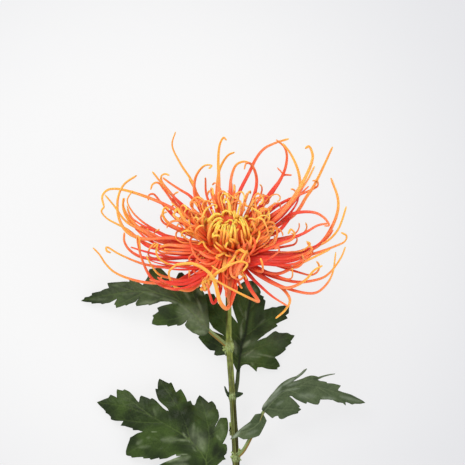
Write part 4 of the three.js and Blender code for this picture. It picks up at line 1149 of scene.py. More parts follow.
# On the near side: petals that curl in front of the dome or hang down over the stem.
FRONT_CURLS = [
    (0.6, 0.28, 1, 8, [[-2.5, -7.2], [-5.8, -6.9], [-8.8, -5.7], [-11.2, -3.9], [-12.8, -1.9], [-13.5, 0],
     [-15, -0.3], [-16.2, -1.6]]),
    (0.45, 0.28, 1, 10, [[-2.5, -6.9], [-4, -5.4], [-5.8, -3.6], [-6.8, -2.6], [-7.5, -1.3]]),
    (0.45, 0.28, 1, 11, [[-0.8, -5.4], [-2.8, -3.4], [-4.5, -2], [-5.9, -1], [-6.8, 0.2]]),
    (0.55, 0.28, 0.9, 9, [[-3.8, -9.7], [-6.2, -8.7], [-5.8, -7.5], [-4.2, -7], [-2, -6.1]]),
    (0.95, 0.08, 1, 4, [[-5.8, -10.9], [-10.8, -11.9], [-16.2, -11.8], [-19.5, -11.2], [-21.2, -9.7],
     [-20.5, -7.9], [-18.5, -6.4], [-16.8, -5.3]]),
    (0.85, 0.13, 0.8, 5, [[-8.2, -12.9], [-13.2, -13.2], [-16.8, -10.9], [-16.8, -8.2], [-15, -6],
     [-12.5, -4.7]]),
    (0.85, 0.13, 0.7, 4, [[-10.8, -12.9], [-15.8, -12.9], [-17.8, -11.4], [-15.8, -9.4], [-14.2, -8.2]]),
    (1.15, 0.08, 1.1, 5, [[-3.2, -8.4], [-7, -8.5], [-11.2, -7.5], [-14.5, -6.4], [-16.8, -7.2]]),
    (1.2, 0, 1.2, 4, [[-3.2, -9.9], [-7.8, -10.2], [-12, -9.7], [-15.2, -9.9], [-17.2, -11.4]]),
    (1.05, 0.13, 0.9, 6, [[-5.8, -7.7], [-10.8, -6.4], [-14.5, -5.3], [-17.8, -3.9], [-20, -1.9],
     [-20.8, 0.6], [-19.8, 2.4], [-17.8, 2.4], [-16.8, 0.9]]),
    (1.2, 0, 1.2, 3, [[-2.5, -10.9], [-7, -12.2], [-11.2, -12.9], [-14.5, -14.4], [-16.2, -16.4]]),
    (1.2, 0, 1.2, 3, [[-1.2, -11.9], [-4.5, -14.4], [-7.8, -15.4], [-10.8, -14.9]]),
    (1.2, 0, 1.1, 4, [[-0.8, -10.9], [-2.5, -13.9], [-4, -15.9], [-6.2, -14.9], [-8.2, -13.7]]),
    (1.15, 0, 0.9, 3, [[-5.8, -12.9], [-10.8, -14.4], [-14.5, -16.4], [-17.8, -16.9], [-18.8, -14.9],
     [-18.2, -13.2], [-15.8, -12.9]]),
    (0.6, 0.18, 1, 7, [[-2.1, -14.4], [-0.1, -13.4], [1.6, -11.5], [2.9, -9.9], [3.6, -8.7], [4.3, -7.3]]),
    (0.75, 0.18, 1.1, 8, [[1.9, -9.4], [3.4, -7.2], [4.9, -5.2], [6.7, -4.3], [8.3, -5.2], [7.7, -6.7],
     [6.4, -7.2]]),
    (0.85, 0.18, 1.4, 9, [[2.9, -17.4], [4.7, -14.9], [6.4, -12.4], [7.7, -9.7], [8.9, -7.4], [10.5, -5.4],
     [10.9, -6.9]]),
    (0.85, 0.18, 1.2, 8, [[5.4, -12.9], [8.4, -11.4], [10.7, -10.2], [11.4, -8.8], [10.9, -7.2],
     [9.7, -8.2], [9.5, -9.7]]),
    (0.95, 0.13, 1.1, 8, [[3.9, -12.9], [6.2, -9.9], [7.2, -7.9], [8.9, -5.7], [10.2, -4.8], [10.9, -5.7]]),
    (0.85, 0.13, 1, 6, [[3.9, -13.9], [6.4, -12.9], [7.2, -14.9], [6.4, -16.9], [4.7, -18.4],
     [3.4, -18.6]]),
    (0.75, 0.23, 1.1, 10, [[7.2, -5.4], [6, -2.6], [5.3, -0.6], [3.6, 0.9], [1.4, 1.6], [-0.4, 1.9],
     [-0.4, 0.6]]),
    (0.85, 0.18, 1, 6, [[1.4, -13.9], [1.6, -16.4], [3.1, -18.6], [4.5, -20], [6.3, -20.6], [7.8, -19.8],
     [8.4, -18.3], [7.7, -16.4]]),
    (0.75, 0.18, 0.8, 6, [[4.9, -14.4], [6.4, -16.9], [7.4, -18], [8.7, -18.2], [9.7, -19.1], [10, -20.4]]),
    (1.15, 0, 1.3, 5, [[1.9, -11.4], [3.4, -13.9], [4.4, -16.4], [3.9, -17.9]]),
    (1.2, 0, 1.3, 4, [[0.4, -10.9], [1.1, -13.9], [1.4, -16.4], [0.4, -17.9]]),
    (1.2, 0, 1.3, 5, [[4.4, -11.4], [5.9, -13.9], [6.4, -16.4], [5.4, -17.9]]),
    (0.95, 0.18, 0.9, 5, [[-2.1, -12.9], [-2.6, -16.4], [-1.1, -18.9], [0.4, -20.1], [1.4, -18.9]]),
    (1.15, 0, 1.1, 3, [[0.4, -14.4], [1.6, -17.4], [2.3, -20.4], [2.1, -23.4], [1.1, -26.4], [0.4, -28.4],
     [0.1, -31.4], [0.6, -34.4]]),
    (1.2, 0, 1.3, 3, [[2.6, -14.9], [4.7, -18.4], [4.8, -21.4], [3.9, -23.4], [3.9, -25.1]]),
    (1.15, 0, 1.2, 3, [[-1.1, -13.9], [-0.4, -17.4], [0.4, -20.4], [0.6, -23.4], [-0.4, -24.9]]),
    (1.2, 0, 1.1, 2, [[1.4, -14.9], [3.6, -21.4], [4.7, -25.9], [3.6, -28.9], [2.6, -31.9], [1.6, -34.9]]),
    (1.15, 0, 1, 3, [[-2.6, -12.9], [-2.6, -17.9], [-1.9, -21.4], [-2.1, -23.9]]),
    (1.2, 0, 1.1, 2, [[-3.1, -12.9], [-3.9, -17.9], [-4.1, -22.1], [-3.6, -24.6]]),
    (0.85, 0.18, 0.7, 4, [[-2.5, -12.9], [-4, -16.1], [-6.2, -15.2], [-7.8, -13.9]]),
    (1.1, 0, 1.4, 3, [[-0.8, -12.9], [-0.6, -17.9], [-0.4, -22.4], [-0.8, -26.4], [-0.9, -30.1]]),
    (1, 0.1, 1.2, 3, [[1.2, -13.9], [1.5, -18.9], [1.1, -24.4], [0.2, -29.9], [0.6, -33.9]]),
    (1.1, 0.05, 1.2, 4, [[-1.9, -14.9], [-2.4, -19.9], [-1.9, -24.4], [-0.6, -27.4]]),
]
# A small open petal head that hangs to the left of the stem.
ROSETTE = [
    (0.2, 0.3, 0.7, 5, [[-8.8, -16.4], [-10.2, -20.9], [-12, -25.9], [-13.5, -24.1], [-14.5, -21.4],
     [-13.8, -19.6], [-12.9, -20.9]]),
    (0.2, 0.3, 0.6, 6, [[-8.8, -16.4], [-10.5, -21.4], [-12, -25.4], [-12.8, -23.4], [-13.8, -21.4],
     [-12.8, -20.1], [-11.8, -20.6]]),
    (0.3, 0.3, 0.7, 6, [[-8.8, -16.4], [-10, -21.4], [-11.5, -25.6], [-10.8, -23.4], [-10.6, -21.1],
     [-11.8, -19.8], [-13, -19.3]]),
    (0.3, 0.3, 0.6, 7, [[-8.8, -16.4], [-9.8, -20.4], [-11, -23.9], [-12, -22.4], [-12.2, -20.6],
     [-10.8, -19.6], [-9.5, -20.1]]),
    (0.9, 0, 1.2, 4, [[-8.8, -16.9], [-9.8, -20.4], [-11, -24.1], [-12.5, -26.4], [-13.8, -25.4]]),
    (1.1, 0, 1.2, 4, [[-8.8, -16.4], [-9, -19.9], [-9.5, -22.9], [-10.5, -24.6]]),
]
# Short hooks close under the dome.
NEAR_HOOKS = [
    (0.45, 0.3, 1.35, 12.5, [[5.1, -3.9], [5.6, -2.2], [5.2, -0.7], [3.6, 0.6], [1.7, 1.4], [-0.2, 1.8]]),
    (0.8, 0.2, 1.2, 9, [[4.7, -5.6], [2.8, -4.8], [0.6, -4.1], [-1.3, -2.9], [-2.2, -1.5]]),
    (0.5, 0.35, 1.5, 12, [[4.7, -6.9], [5, -5.3], [6.6, -4.2], [8.2, -5], [9.6, -5.7], [10.8, -4.8]]),
    (0.45, 0.35, 1.4, 13, [[7.2, -11], [7.9, -9], [9, -7.2], [10.1, -5.6], [10.6, -4.5]]),
    (1, 0.15, 1, 11, [[11.6, -11], [11.7, -9], [10.9, -7.5], [9.8, -8.1]]),
    (0.4, 0.3, 1.4, 14, [[-1.9, -15.1], [-0.3, -12.8], [1.7, -10.6], [3.2, -8.8], [4.3, -7.2]]),
    (0.25, 0.4, 1.1, 10, [[-1.1, -5.9], [-2.5, -6.4], [-4.2, -7.3], [-5.6, -8]]),
    (0.6, 0.3, 1, 8, [[1.3, -7.9], [-0.3, -7.5], [-1.8, -6.6]]),
    (1, 0.08, 1.3, 8, [[-2.8, -8.4], [-6.1, -9.1], [-9.4, -8.7], [-12.7, -7.4], [-15.6, -5]]),
    (1.05, 0.08, 1.2, 9, [[1.1, -6.1], [0.8, -9.1], [-0.9, -12.1], [-3.5, -15.4]]),
    (1.2, 0, 1.3, 7, [[-3.5, -8.2], [-4, -11], [-5.1, -14.6]]),
    (1.1, 0.08, 1.2, 7, [[-1.4, -7.7], [-1.9, -10.5], [-3.2, -13.9]]),
    (1.2, 0, 1.2, 8, [[2.6, -6.1], [2.5, -8.5], [1, -11.3], [-0.7, -14.3]]),
    (1.1, 0.05, 1.2, 9, [[5.7, -7.7], [5.9, -9.9], [4.5, -12.7], [3.1, -16]]),
    (0.85, 0.2, 1.35, 12, [[8.2, -11.3], [6.7, -13.4], [5.5, -16.2], [4.5, -18.9]]),
    (0.4, 0.35, 1.1, 15, [[-3.5, -16], [-6.5, -14.6], [-8.9, -12.9]]),
    (0.85, 0.2, 1, 10, [[11.9, -3.3], [11.4, -1.1], [10.3, 0.8], [9.1, 1.4]]),
    (0.6, 0.15, 1.2, 10, [[11.6, -3.6], [12.4, -0.8], [12.7, 2], [12.2, 4.5]]),
    (1.2, 0.12, 1.1, 10, [[11.6, -6.8], [13.8, -4.2], [14.8, -1.7], [14.5, 0.9], [13.1, 2.6]]),
    (1, 0.15, 1.1, 9, [[6.6, -4.6], [8.7, -3.2], [10.2, -1.1], [10.7, 0.9]]),
    (1.05, 0.1, 1.1, 7, [[6.1, -3.2], [8, -2.2], [9.1, -0.3]]),
    (1.1, 0.1, 1.2, 9, [[-12.1, -11], [-15.4, -9.7], [-18.2, -6.9], [-20.1, -2.8]]),
    (1.1, 0.05, 1.1, 10, [[-7.4, -11.2], [-11.2, -12.2], [-14.9, -11]]),
    (0.9, 0.15, 1.1, 12, [[2.8, -11], [1.3, -14.5], [2.1, -18.4], [4.1, -19.8]]),
    (1.15, 0, 1.2, 8, [[-1.1, -11.2], [0, -15.4], [-0.8, -19.6]]),
    (1.15, 0, 1.2, 9, [[-5.5, -11], [-7.4, -14.5], [-8.6, -17.1]]),
]
# Florets that close over the dome or stand up round its rim.
DOME_FLORETS = [
    (0.6, 0.35, 1, 16, [[-2.8, -4.4], [-2.5, 0.6], [-1.9, 5.5], [-1.3, 8.9], [0.2, 10.1]]),
    (0.62, 0.4, 1, 15.5, [[-4.6, -2.8], [-4, 2.5], [-3.2, 7.5], [-2.4, 9.6]]),
    (0.45, 0.35, 1.05, 16.5, [[0.3, -3.9], [0.9, 0.9], [1.7, 5.5], [2.6, 9], [3.2, 10.7]]),
    (0.6, 0.2, 1, 16, [[3.7, -3.9], [4, 0.9], [3.8, 6.6], [3.2, 9.9]]),
    (0.68, 0.4, 1, 15.5, [[-6.8, -2.5], [-7.2, 3.3], [-6.1, 8.2], [-3.9, 11.2]]),
    (0.8, 0.35, 1, 15, [[-9.6, -1.7], [-10.6, 3.6], [-9.5, 8.4], [-6.9, 12.2]]),
    (0.4, 0.1, 1, 16, [[9.2, -1.1], [9.2, 5], [7.9, 9.9], [6.1, 13]]),
    (0.5, 0.1, 1, 15, [[11.4, 0.3], [11.2, 6.1], [9.9, 10.1], [8, 12.8]]),
    (0.9, 0.15, 1, 15, [[2.1, -4.4], [2.6, -2.2], [2, 0], [0.6, 1.1]]),
    (0.75, 0.15, 0.95, 15, [[-0.9, -4.4], [-0.9, -0.6], [-0.2, 3.3], [0.6, 7.2]]),
    (1, 0.05, 0.9, 15, [[7.6, -2.5], [7.8, 1.7], [7.2, 6.6]]),
    (1.2, 0.1, 0.9, 14, [[8.8, -5], [8.9, -2.2], [8.4, 0.6], [7.4, 2.4]]),
    (0.45, 0.3, 1.1, 17, [[-10.5, 11.6], [-8.8, 13.8], [-6.1, 15.4], [-3.9, 14.9]]),
    (0.7, 0.25, 1.1, 16.5, [[-9.6, 4], [-9.2, 8.5], [-7.2, 11.8], [-4.6, 13.1], [-3.4, 12.4]]),
    (0.65, 0.3, 1, 16, [[-7.4, 4.4], [-6.6, 9], [-4.4, 11.4], [-2.8, 11.2]]),
    (0.5, 0.3, 1, 17, [[3.4, 17], [4, 14.6], [3.2, 12.9]]),
    (0.6, 0.3, 1, 15.5, [[-1.6, 8.2], [-1.2, 10.8], [0.6, 11.4]]),
    (0.45, 0.3, 1.1, 17, [[-2.8, 16], [-1.1, 17.1], [0.6, 16.5], [1.7, 14.9]]),
    (0.5, 0.3, 1, 15, [[0, 10.6], [0.6, 11.8], [2.2, 11.9], [2.9, 10.5]]),
    (0.45, 0.3, 1.1, 16, [[4.4, 12.1], [6, 13.8], [7.7, 12.1], [9.4, 8.8]]),
]
# Petals that run out close beside the long ones.
SIDE_COMPANIONS = [
    (0.95, 0, 0.75, 3, [[-12.7, -1.1], [-20.9, 0], [-29.2, 0.8], [-37.4, 4.4], [-42.9, 7.2], [-48.4, 9.9],
     [-53.4, 13.8], [-55.6, 18.2]]),
    (0.55, 0, 0.8, 2, [[-12.7, -2.8], [-20.9, -1.7], [-29.2, -0.6], [-37.4, 2.2], [-42.9, 5], [-48.4, 7.7],
     [-52.3, 11], [-56.1, 16], [-57.8, 20.4], [-57.2, 24.2]]),
    (1.1, 0, 0.9, 4, [[-12.7, -4.4], [-23.7, -3.3], [-34.7, -2.8], [-40.2, -0.6], [-44.6, 1.7], [-48.4, 5],
     [-51.2, 7.7]]),
    (1.15, 0, 1.1, 3, [[-12.7, -5.5], [-23.7, -4.4], [-34.7, -3.9], [-42.9, -2.8], [-47.3, 0],
     [-49.5, 3.3]]),
    (1.2, 0, 0.8, 3, [[-12.7, -7.7], [-23.7, -8.8], [-31.9, -8.2], [-40.2, -6.6], [-48.4, -4.4],
     [-53.4, -2.8]]),
    (1.2, 0, 0.7, 3, [[-12.7, -9.4], [-23.7, -11.6], [-31.9, -11], [-40.2, -9.6], [-47.3, -8],
     [-52.3, -5.5]]),
    (1.2, 0, 0.7, 4, [[-12.7, -11.6], [-20.9, -13.8], [-29.2, -13.2], [-37.4, -11.8], [-42.9, -9.9],
     [-45.7, -8.2]]),
    (1.1, 0, 0.8, 4, [[-12.7, -13.2], [-20.9, -14.9], [-29.2, -14.9], [-36.3, -13.8], [-42.9, -12.1]]),
    (0.8, 0.2, 1.1, 6, [[-12.7, -2.2], [-20.9, -2.5], [-27.5, -2.2], [-33, -1.7], [-37.4, -2.8]]),
    (0.9, 0.2, 1.2, 5, [[-12.7, -3.9], [-20.9, -4.4], [-29.2, -4.4], [-35.2, -3.9]]),
    (0.85, 0.15, 1, 5, [[-12.7, -5.5], [-20.9, -6.1], [-27.5, -6.1], [-33, -5.5], [-36.9, -4.4]]),
    (1.2, 0, 1.1, 4, [[-12.7, -7.7], [-20.9, -8.2], [-29.2, -8.2], [-34.7, -7.2], [-38.5, -5]]),
    (1.2, 0, 1.1, 5, [[-8.8, -14.3], [-15.4, -18.2], [-22, -20.9], [-29.2, -21.7], [-37.4, -21.5],
     [-42.9, -20.6]]),
    (1.2, 0, 1.1, 6, [[-8.8, -15.4], [-15.4, -19.2], [-22, -22.6], [-29.2, -23.1], [-34.7, -21.5],
     [-38.5, -19.2]]),
    (1.2, 0, 0.9, 6, [[-8.8, -16.5], [-15.4, -21.5], [-22, -24.5], [-29.2, -25.6], [-34.7, -24.8]]),
    (0.95, 0, 0.9, 12, [[-8.8, 5.5], [-15.4, 11.6], [-22, 17.6], [-28.6, 23.7], [-34.7, 29.2],
     [-38.5, 32.5]]),
    (1.2, 0, 1.2, 3, [[6.6, -5.5], [14.9, -6.1], [22, -6.1], [31.4, -6.3], [38, -5.5], [42.4, -3.9]]),
    (1.2, 0, 1.2, 3, [[6.6, -6.6], [14.9, -7.7], [22, -8], [31.4, -7.7], [38, -6.6], [44, -4.4]]),
    (0.9, 0, 1.1, 4, [[6.6, -7.7], [14.9, -9.1], [22, -9.4], [31.4, -9.4], [38.5, -7.7], [44, -5.5],
     [45.7, -3.3], [43.5, -0.6]]),
    (1.2, 0, 1.2, 3, [[6.6, -8.8], [14.9, -10.5], [22, -10.7], [31.4, -11], [38, -9.6], [42.9, -7.2]]),
    (0.95, 0, 1.1, 4, [[6.6, -9.9], [14.9, -11.6], [22, -12.1], [30.3, -12.7], [36.9, -11.8], [41.2, -9.6],
     [45.7, -6.6], [44.6, -4.4]]),
    (1.1, 0, 1, 4, [[12.1, -6.1], [22, -7.2], [31.4, -6.6], [39.6, -5], [46.2, -3], [51.2, -0.6],
     [55.6, 3.3], [57.8, 6.6]]),
    (1.15, 0, 1.1, 9, [[12.1, 5.5], [18.7, 8.8], [25.9, 13.8], [32.5, 19.8], [38, 25.3], [41.2, 29.7]]),
    (1.15, 0, 1.1, 8, [[13.2, 4.4], [20.9, 7.7], [28.6, 13.2], [35.2, 20.4], [40.7, 27], [44.6, 30.8]]),
    (1.2, 0, 1, 7, [[13.2, 3.3], [22, 6.6], [29.7, 11.6], [34.7, 16.5], [38, 21.5], [39.1, 25.3]]),
    (1.2, 0, 1.2, 6, [[13.2, 2.2], [20.9, 3.3], [27, 5.5], [32.5, 11], [35.8, 16]]),
    (1.1, 0, 0.9, 10, [[12.1, 8.8], [18.7, 13.8], [24.2, 18.2], [31.4, 22.6], [38, 25.3]]),
]
# More petals that hang from the near side of the head and hide the top of the stem. A pair of numbers is a
# range that each petal draws from.
FRONT_TIERS = [
    dict(count=26, azimuth=(215, 325), root=8.4, height=(-1.5, 1.0), launch=(-24, -2), length=(10, 17),
         cup=(0, 40), curl=(60, 200), curl_from=(0.6, 0.8), inward=0.6, turn=(0.7, 1.05), base=0.16),
    dict(count=20, azimuth=(215, 325), root=8.8, height=(-0.5, 1.5), launch=(-4, 14), length=(9, 14),
         cup=(-10, 30), curl=(100, 260), curl_from=(0.5, 0.72), inward=0.5, turn=(0.65, 1.05), base=0.16),
]
NEAR_SIDE = -4.5  # over the face, where the near side starts: there the front petals stand for the short ones
ROOT_RING = 9.0  # distance from the axis at which a petal with places of its own leaves the receptacle
ROOT_HEIGHT = 1.0  # its height there
RISEN = 0.75  # share of its length at which it stops rising


def seen_ray(rise, places):
    """A petal through places as they look from above. It leaves the receptacle on the side that they start
    from, and rises out of the face as it goes."""
    seen = np.array(places, float)
    start = np.array([seen[0, 0], (seen[0, 1] - FACE[1]) / FAR[1]])
    start *= ROOT_RING / max(np.linalg.norm(start), ROOT_RING)
    root = on_flower(start[0], start[1], ROOT_HEIGHT) - HEART
    seen = np.vstack([root[:2], seen])
    travelled = np.concatenate([[0], np.cumsum(np.linalg.norm(np.diff(seen, axis=0), axis=1))])
    shares = travelled / travelled[-1]
    heights = ROOT_HEIGHT + (rise - ROOT_HEIGHT) * np.sin(math.pi / 2 * np.minimum(1, shares / RISEN))
    far = (seen[:, 1] - FACE[1] * heights) / FAR[1]
    return np.array([on_flower(x, f, h) for x, f, h in zip(seen[:, 0], far, heights)])


def seen_rays(*lists):
    """The petals of the lists, each through its own places."""
    return [Ray(turn, base, girth, seen_ray(rise, places))
            for rows in lists for turn, base, girth, rise, places in rows]


def scattered_rays(tiers, seed):
    """Petals drawn at random from tiers, spaced out round the axis."""
    draw = dice(seed)
    rays = []
    for tier in tiers:
        first, last = tier["azimuth"]
        for k in range(tier["count"]):
            side = 1 if draw(0, 1) < tier["inward"] else -1
            places = gesture(
                azimuth=first + (last - first) * (k + draw(0, 1)) / tier["count"],
                root=tier["root"],
                height=draw(*tier["height"]),
                launch=draw(*tier["launch"]),
                length=draw(*tier["length"]),
                cup=draw(*tier["cup"]),
                curl=side * draw(*tier["curl"]),
                curl_from=draw(*tier["curl_from"]),
                sway=draw(-16, 16),
                curl_sway=draw(-140, 140),
            )
            rays.append(Ray(draw(*tier["turn"]), tier["base"], 1.0, settled(places)))
    return rays


SHORT_RIPE = 0.15  # how ripe a short petal's root is


class MUM_OT_short_petals(bpy.types.Operator):
    """Grows the short petals that curl over round the centre"""

    bl_idname = "mum.short_petals"
    bl_label = "Short petals"

    def execute(self, context):
        chosen = settings().petals
        full, tip = chosen.short_girth / MM, chosen.tip_girth / MM
        skin = petal_material("short_petal_skin", chosen.short_root_colour, chosen.short_middle_colour,
                              chosen.short_tip_colour)
        draw = dice(17)
        every = short_rays([ray.places for ray in long_rays()], centre_rays())
        placed = [ray for ray in every if (ray[0] - HEART) @ FAR > NEAR_SIDE]
        rays = [Ray(draw(0.6, 1.0), SHORT_RIPE, 1.0, ray) for ray in placed]
        pattern = Pattern(quill("short_petal", 8, 32, chosen.groove))
        grow_petals("petals_short", pattern, rays, full, tip, 23, skin, "ray_petals_short")
        return {"FINISHED"}


class MUM_OT_curls(bpy.types.Operator):
    """Grows the thin curled petals between the short ones, and those that hook and hang on the near side"""

    bl_idname = "mum.curls"
    bl_label = "Curled petals"

    def execute(self, context):
        chosen = settings().petals
        full, tip = chosen.curl_girth / MM, chosen.tip_girth / MM
        skin = petal_material("curled_petal_skin", chosen.short_root_colour, chosen.short_middle_colour,
                              chosen.short_tip_colour)
        pattern = Pattern(quill("curled_petal", 7, 30, chosen.groove))
        rays = seen_rays(LEFT_CURLS, FAR_CURLS, RIGHT_CURLS)
        grow_petals("petals_curled", pattern, rays, full, tip, 31, skin, "ray_petals_short")
        skin = petal_material("front_petal_skin", chosen.short_root_colour, chosen.middle_colour,
                              chosen.tip_colour)
        pattern = Pattern(quill("front_petal", 7, 30, chosen.groove))
        rays = seen_rays(FRONT_CURLS, NEAR_HOOKS, ROSETTE) + scattered_rays(FRONT_TIERS, 131)
        grow_petals("petals_front", pattern, rays, full, tip, 37, skin, "ray_petals_short")
        return {"FINISHED"}


# Florets round the part's own: some lean in over the dome, some hook away from it, and small ones fill its
# middle.
FLORET_TIERS = [
    dict(count=7, azimuth=(150, 390), root=8.9, height=(3.2, 4.2), launch=(44, 54), length=(14, 16.5),
         cup=(92, 112), curl=(0, 70), curl_from=(0.7, 0.8), inward=1.0, turn=(0.7, 1.0), base=0.0),
    dict(count=12, azimuth=(326, 638), root=8.8, height=(3.0, 4.4), launch=(56, 70), length=(11, 16),
         cup=(10, 50), curl=(150, 260), curl_from=(0.5, 0.66), inward=0.25, turn=(0.3, 0.55), base=0.1),
    dict(count=9, azimuth=(150, 390), root=5.6, height=(12.4, 13.4), launch=(80, 110), length=(3, 5),
         cup=(40, 130), curl=(0, 90), curl_from=(0.5, 0.7), inward=0.8, turn=(0.1, 0.5), base=0.2),
]
GAP = (17, 18)  # the florets that are missing where the dome stands open on its near right side
FAR_SHORTER = 0.12  # share of its length that a floret of the far side lacks, so that the middle shows
FLORET_RIPE = 0.28  # how ripe the root of one of the part's own florets is
FLORET_TIP = 0.5  # radius of a floret close to its tip, in millimetres


def trimmed(places, share):
    """The first share of a route."""
    return along_knots(places, np.linspace(0, share, len(places)))


class MUM_OT_florets(bpy.types.Operator):
    """Grows the florets that close over the centre"""

    bl_idname = "mum.florets"
    bl_label = "Centre florets"

    def execute(self, context):
        chosen = settings().petals
        skin = petal_material("floret_skin", chosen.floret_root_colour, chosen.floret_colour,
                              chosen.floret_tip_colour)
        draw = dice(71)
        rays = []
        for number, places in enumerate(centre_rays()[:FLORET_RINGS[0]["count"]]):
            share = draw(0.8, 0.92) - (FAR_SHORTER if (places[-1] - HEART) @ FAR > 0 else 0)
            turn = draw(0.6, 0.9)
            if number not in GAP:
                rays.append(Ray(turn, FLORET_RIPE, 1.0, trimmed(places, share)))
        rays += seen_rays(DOME_FLORETS) + scattered_rays(FLORET_TIERS, 59)
        pattern = Pattern(quill("floret", 8, 24, chosen.groove))
        grow_petals("florets", pattern, rays, chosen.floret_girth / MM, FLORET_TIP, 41, skin,
                    "centre_florets", bend_weight=2.0)
        return {"FINISHED"}


# Profiles of the turned bodies: radius and height above the heart, from the stem's side to the dome's.
RECEPTACLE = [
    (0, -7.4), (4, -7.3), (7, -6), (7.8, -4.6), (8.2, -2.4), (8.8, -0.6), (9.8, 0.2), (9.9, 1.6), (9.2, 3),
    (9.3, 6), (9.2, 10), (8.4, 12.4), (7.2, 13.8), (5.8, 13.8), (4.4, 12), (2.6, 10.4), (0, 10)]
CUP = [
    (0, -18), (1.6, -18), (1.8, -17.4), (2.0, -16.7), (2.5, -15.8), (3.5, -14.5), (5, -12.7), (6.2, -11.3),
    (7.4, -9.4), (7.4, -8.4), (6.6, -7.9), (0, -7.7)]
# Rows of bracts up the cup. Each bract is BRACT_WIDTH by BRACT_DEPTH of its girth.
BRACT_ROWS = [
    dict(count=11, root=3.5, height=-13.6, launch=42, length=6.4, start=0),
    dict(count=13, root=5.0, height=-12.2, launch=44, length=6.2, start=11),
    dict(count=13, root=6.3, height=-10.9, launch=52, length=5.6, start=3),
]
BRACT_WIDTH, BRACT_DEPTH = 1.6, 0.4
CORE_DEEP, CORE_BRIGHT = light(214, 66, 30), light(238, 112, 44)
CUP_DARK, CUP_PALE = light(74, 98, 48), light(108, 130, 70)
BRACT_DARK, BRACT_PALE, BRACT_EDGE = light(82, 106, 50), light(112, 136, 72), light(146, 124, 84)


def spun_piece(name, skin_name, profile, steps, slot, colours, patch_scale, grain_scale, bump):
    """A turned body in patches of two colours, which stands for the node of the slot's name. bump says what
    makes it uneven, how strongly and how deeply."""
    body = spun(name, profile, steps)
    skin, tree, shader = new_material(skin_name, roughness=0.6)
    patches, grain = mottle(tree, patch_scale, grain_scale)
    tree.links.new(mixed(tree, patches, *colours), shader.inputs["Base Color"])
    uneven, strength, depth = bump
    bumped(tree, shader, {"patches": patches, "grain": grain}[uneven], strength, depth)
    finish_piece(body, slot, slot, skin)


class MUM_OT_receptacle(bpy.types.Operator):
    """Turns the receptacle that every petal grows from"""

    bl_idname = "mum.receptacle"
    bl_label = "Receptacle"

    def execute(self, context):
        spun_piece("receptacle", "receptacle_skin", RECEPTACLE, 40, "ray_petals_long",
                   (CORE_DEEP, CORE_BRIGHT), 300.0, 1500.0, bump=("patches", 0.5, 0.0006))
        return {"FINISHED"}


class MUM_OT_calyx(bpy.types.Operator):
    """Makes the green cup under the head and the bracts that overlap round it"""

    bl_idname = "mum.calyx"
    bl_label = "Calyx"

    def execute(self, context):
        spun_piece("calyx_cup", "calyx_skin", CUP, 48, "calyx", (CUP_DARK, CUP_PALE), 260.0, 1800.0,
                   bump=("grain", 0.4, 0.0003))
        pattern = Pattern(flat_tube("bract", 10, 9, BRACT_WIDTH, BRACT_DEPTH))
        growth = Growth()
        for row in BRACT_ROWS:
            for k in range(row["count"]):
                places = gesture(azimuth=row["start"] + 360 * k / row["count"], root=row["root"],
                                 height=row["height"], launch=row["launch"], length=row["length"],
                                 cup=-10, curl=0, curl_from=0.9, sway=0, curl_sway=0)
                growth.lay(pattern, places, lambda u: 0.15 + 0.95 * np.sin(math.pi * (0.2 + 0.76 * u)), FACE,
                           edge=lambda u, v: smooth(u, 0.7, 1.0),
                           tone=lambda u, v, share=k / row["count"]: share)
        skin, tree, shader = new_material("bract_skin", roughness=0.55)
        lines = streaks(tree, along=2.0, around=8.0, sharpness=0.2)
        colour = mixed(tree, lines, BRACT_DARK, BRACT_PALE)
        colour = mixed(tree, mark(tree, "edge"), colour, BRACT_EDGE)
        tree.links.new(colour, shader.inputs["Base Color"])
        bumped(tree, shader, lines, 0.4, 0.0002)
        finish_piece(growth.mesh("calyx_bracts"), "calyx", "calyx", skin)
        return {"FINISHED"}


# ---------- stem ----------

STEM_PLACES = [[0, -12.6, -11.2], [0, -17, -15.4], [0.1, -23, -18.6], [0.3, -32, -20.4], [0.6, -57, -23.4],
               [2.2, -81, -26], [3.8, -109, -29.2], [4.6, -128, -31.8], [4.4, -152, -34.6], [3.7, -170, -36],
               [3.2, -182, -36]]
# Knuckles where the leaves leave the stem, and a bud scar: the place, half the length and the radius.
KNUCKLES = [
    ([0.6, -58, -23.5], 4.6, 3.0),
    ([2.5, -85, -26.6], 3.0, 2.6),
    ([3.1, -104.4, -28.6], 2.0, 2.0),
    ([4.2, -119.4, -30.6], 3.4, 2.6),
    ([4.6, -138, -32.9], 3.2, 2.9),
]
BUD_SCAR = 2  # its place in the list. It has no pale collar.
# Small papery flaps on the knuckles and the bud scar, each straight: how dark, the radius, and both ends.
FLAPS = [
    (0, 1.4, [[-2.9, -60, -22], [3.3, -56.2, -22]]),
    (0.1, 1, [[-1.8, -56.6, -21.9], [2.6, -61, -21.8]]),
    (0, 0.8, [[1.2, -52.2, -21.4], [3.4, -59, -22]]),
    (0.25, 1.5, [[-2.4, -57.6, -22.6], [-0.9, -63, -22.4]]),
    (0, 1.4, [[1.4, -119.4, -29], [7.6, -115.2, -28.4]]),
    (0.2, 1.1, [[1.8, -116.2, -28.8], [7.4, -121, -28.6]]),
    (0, 1.5, [[6.2, -114.4, -29], [6.2, -121, -29.2]]),
    (0.45, 1.9, [[1.5, -99.9, -28.8], [1.5, -107.2, -29]]),
    (1, 0.9, [[1.9, -101.8, -27.9], [0.7, -104.6, -26.8]]),
]
# Small leaflets at a knuckle: the radius and the places.
STIPULES = [
    (0.5, [[1.5, -85.6, -25.8], [-0.4, -83.6, -24.2], [-1.9, -79.8, -22.8]]),
    (1.25, [[2.5, -85, -25.6], [5.6, -84.4, -24.8], [8.3, -83.8, -25]]),
    (1.05, [[1.5, -84.8, -25.8], [0.2, -84.4, -24.8], [-0.8, -83.8, -24.6]]),
]


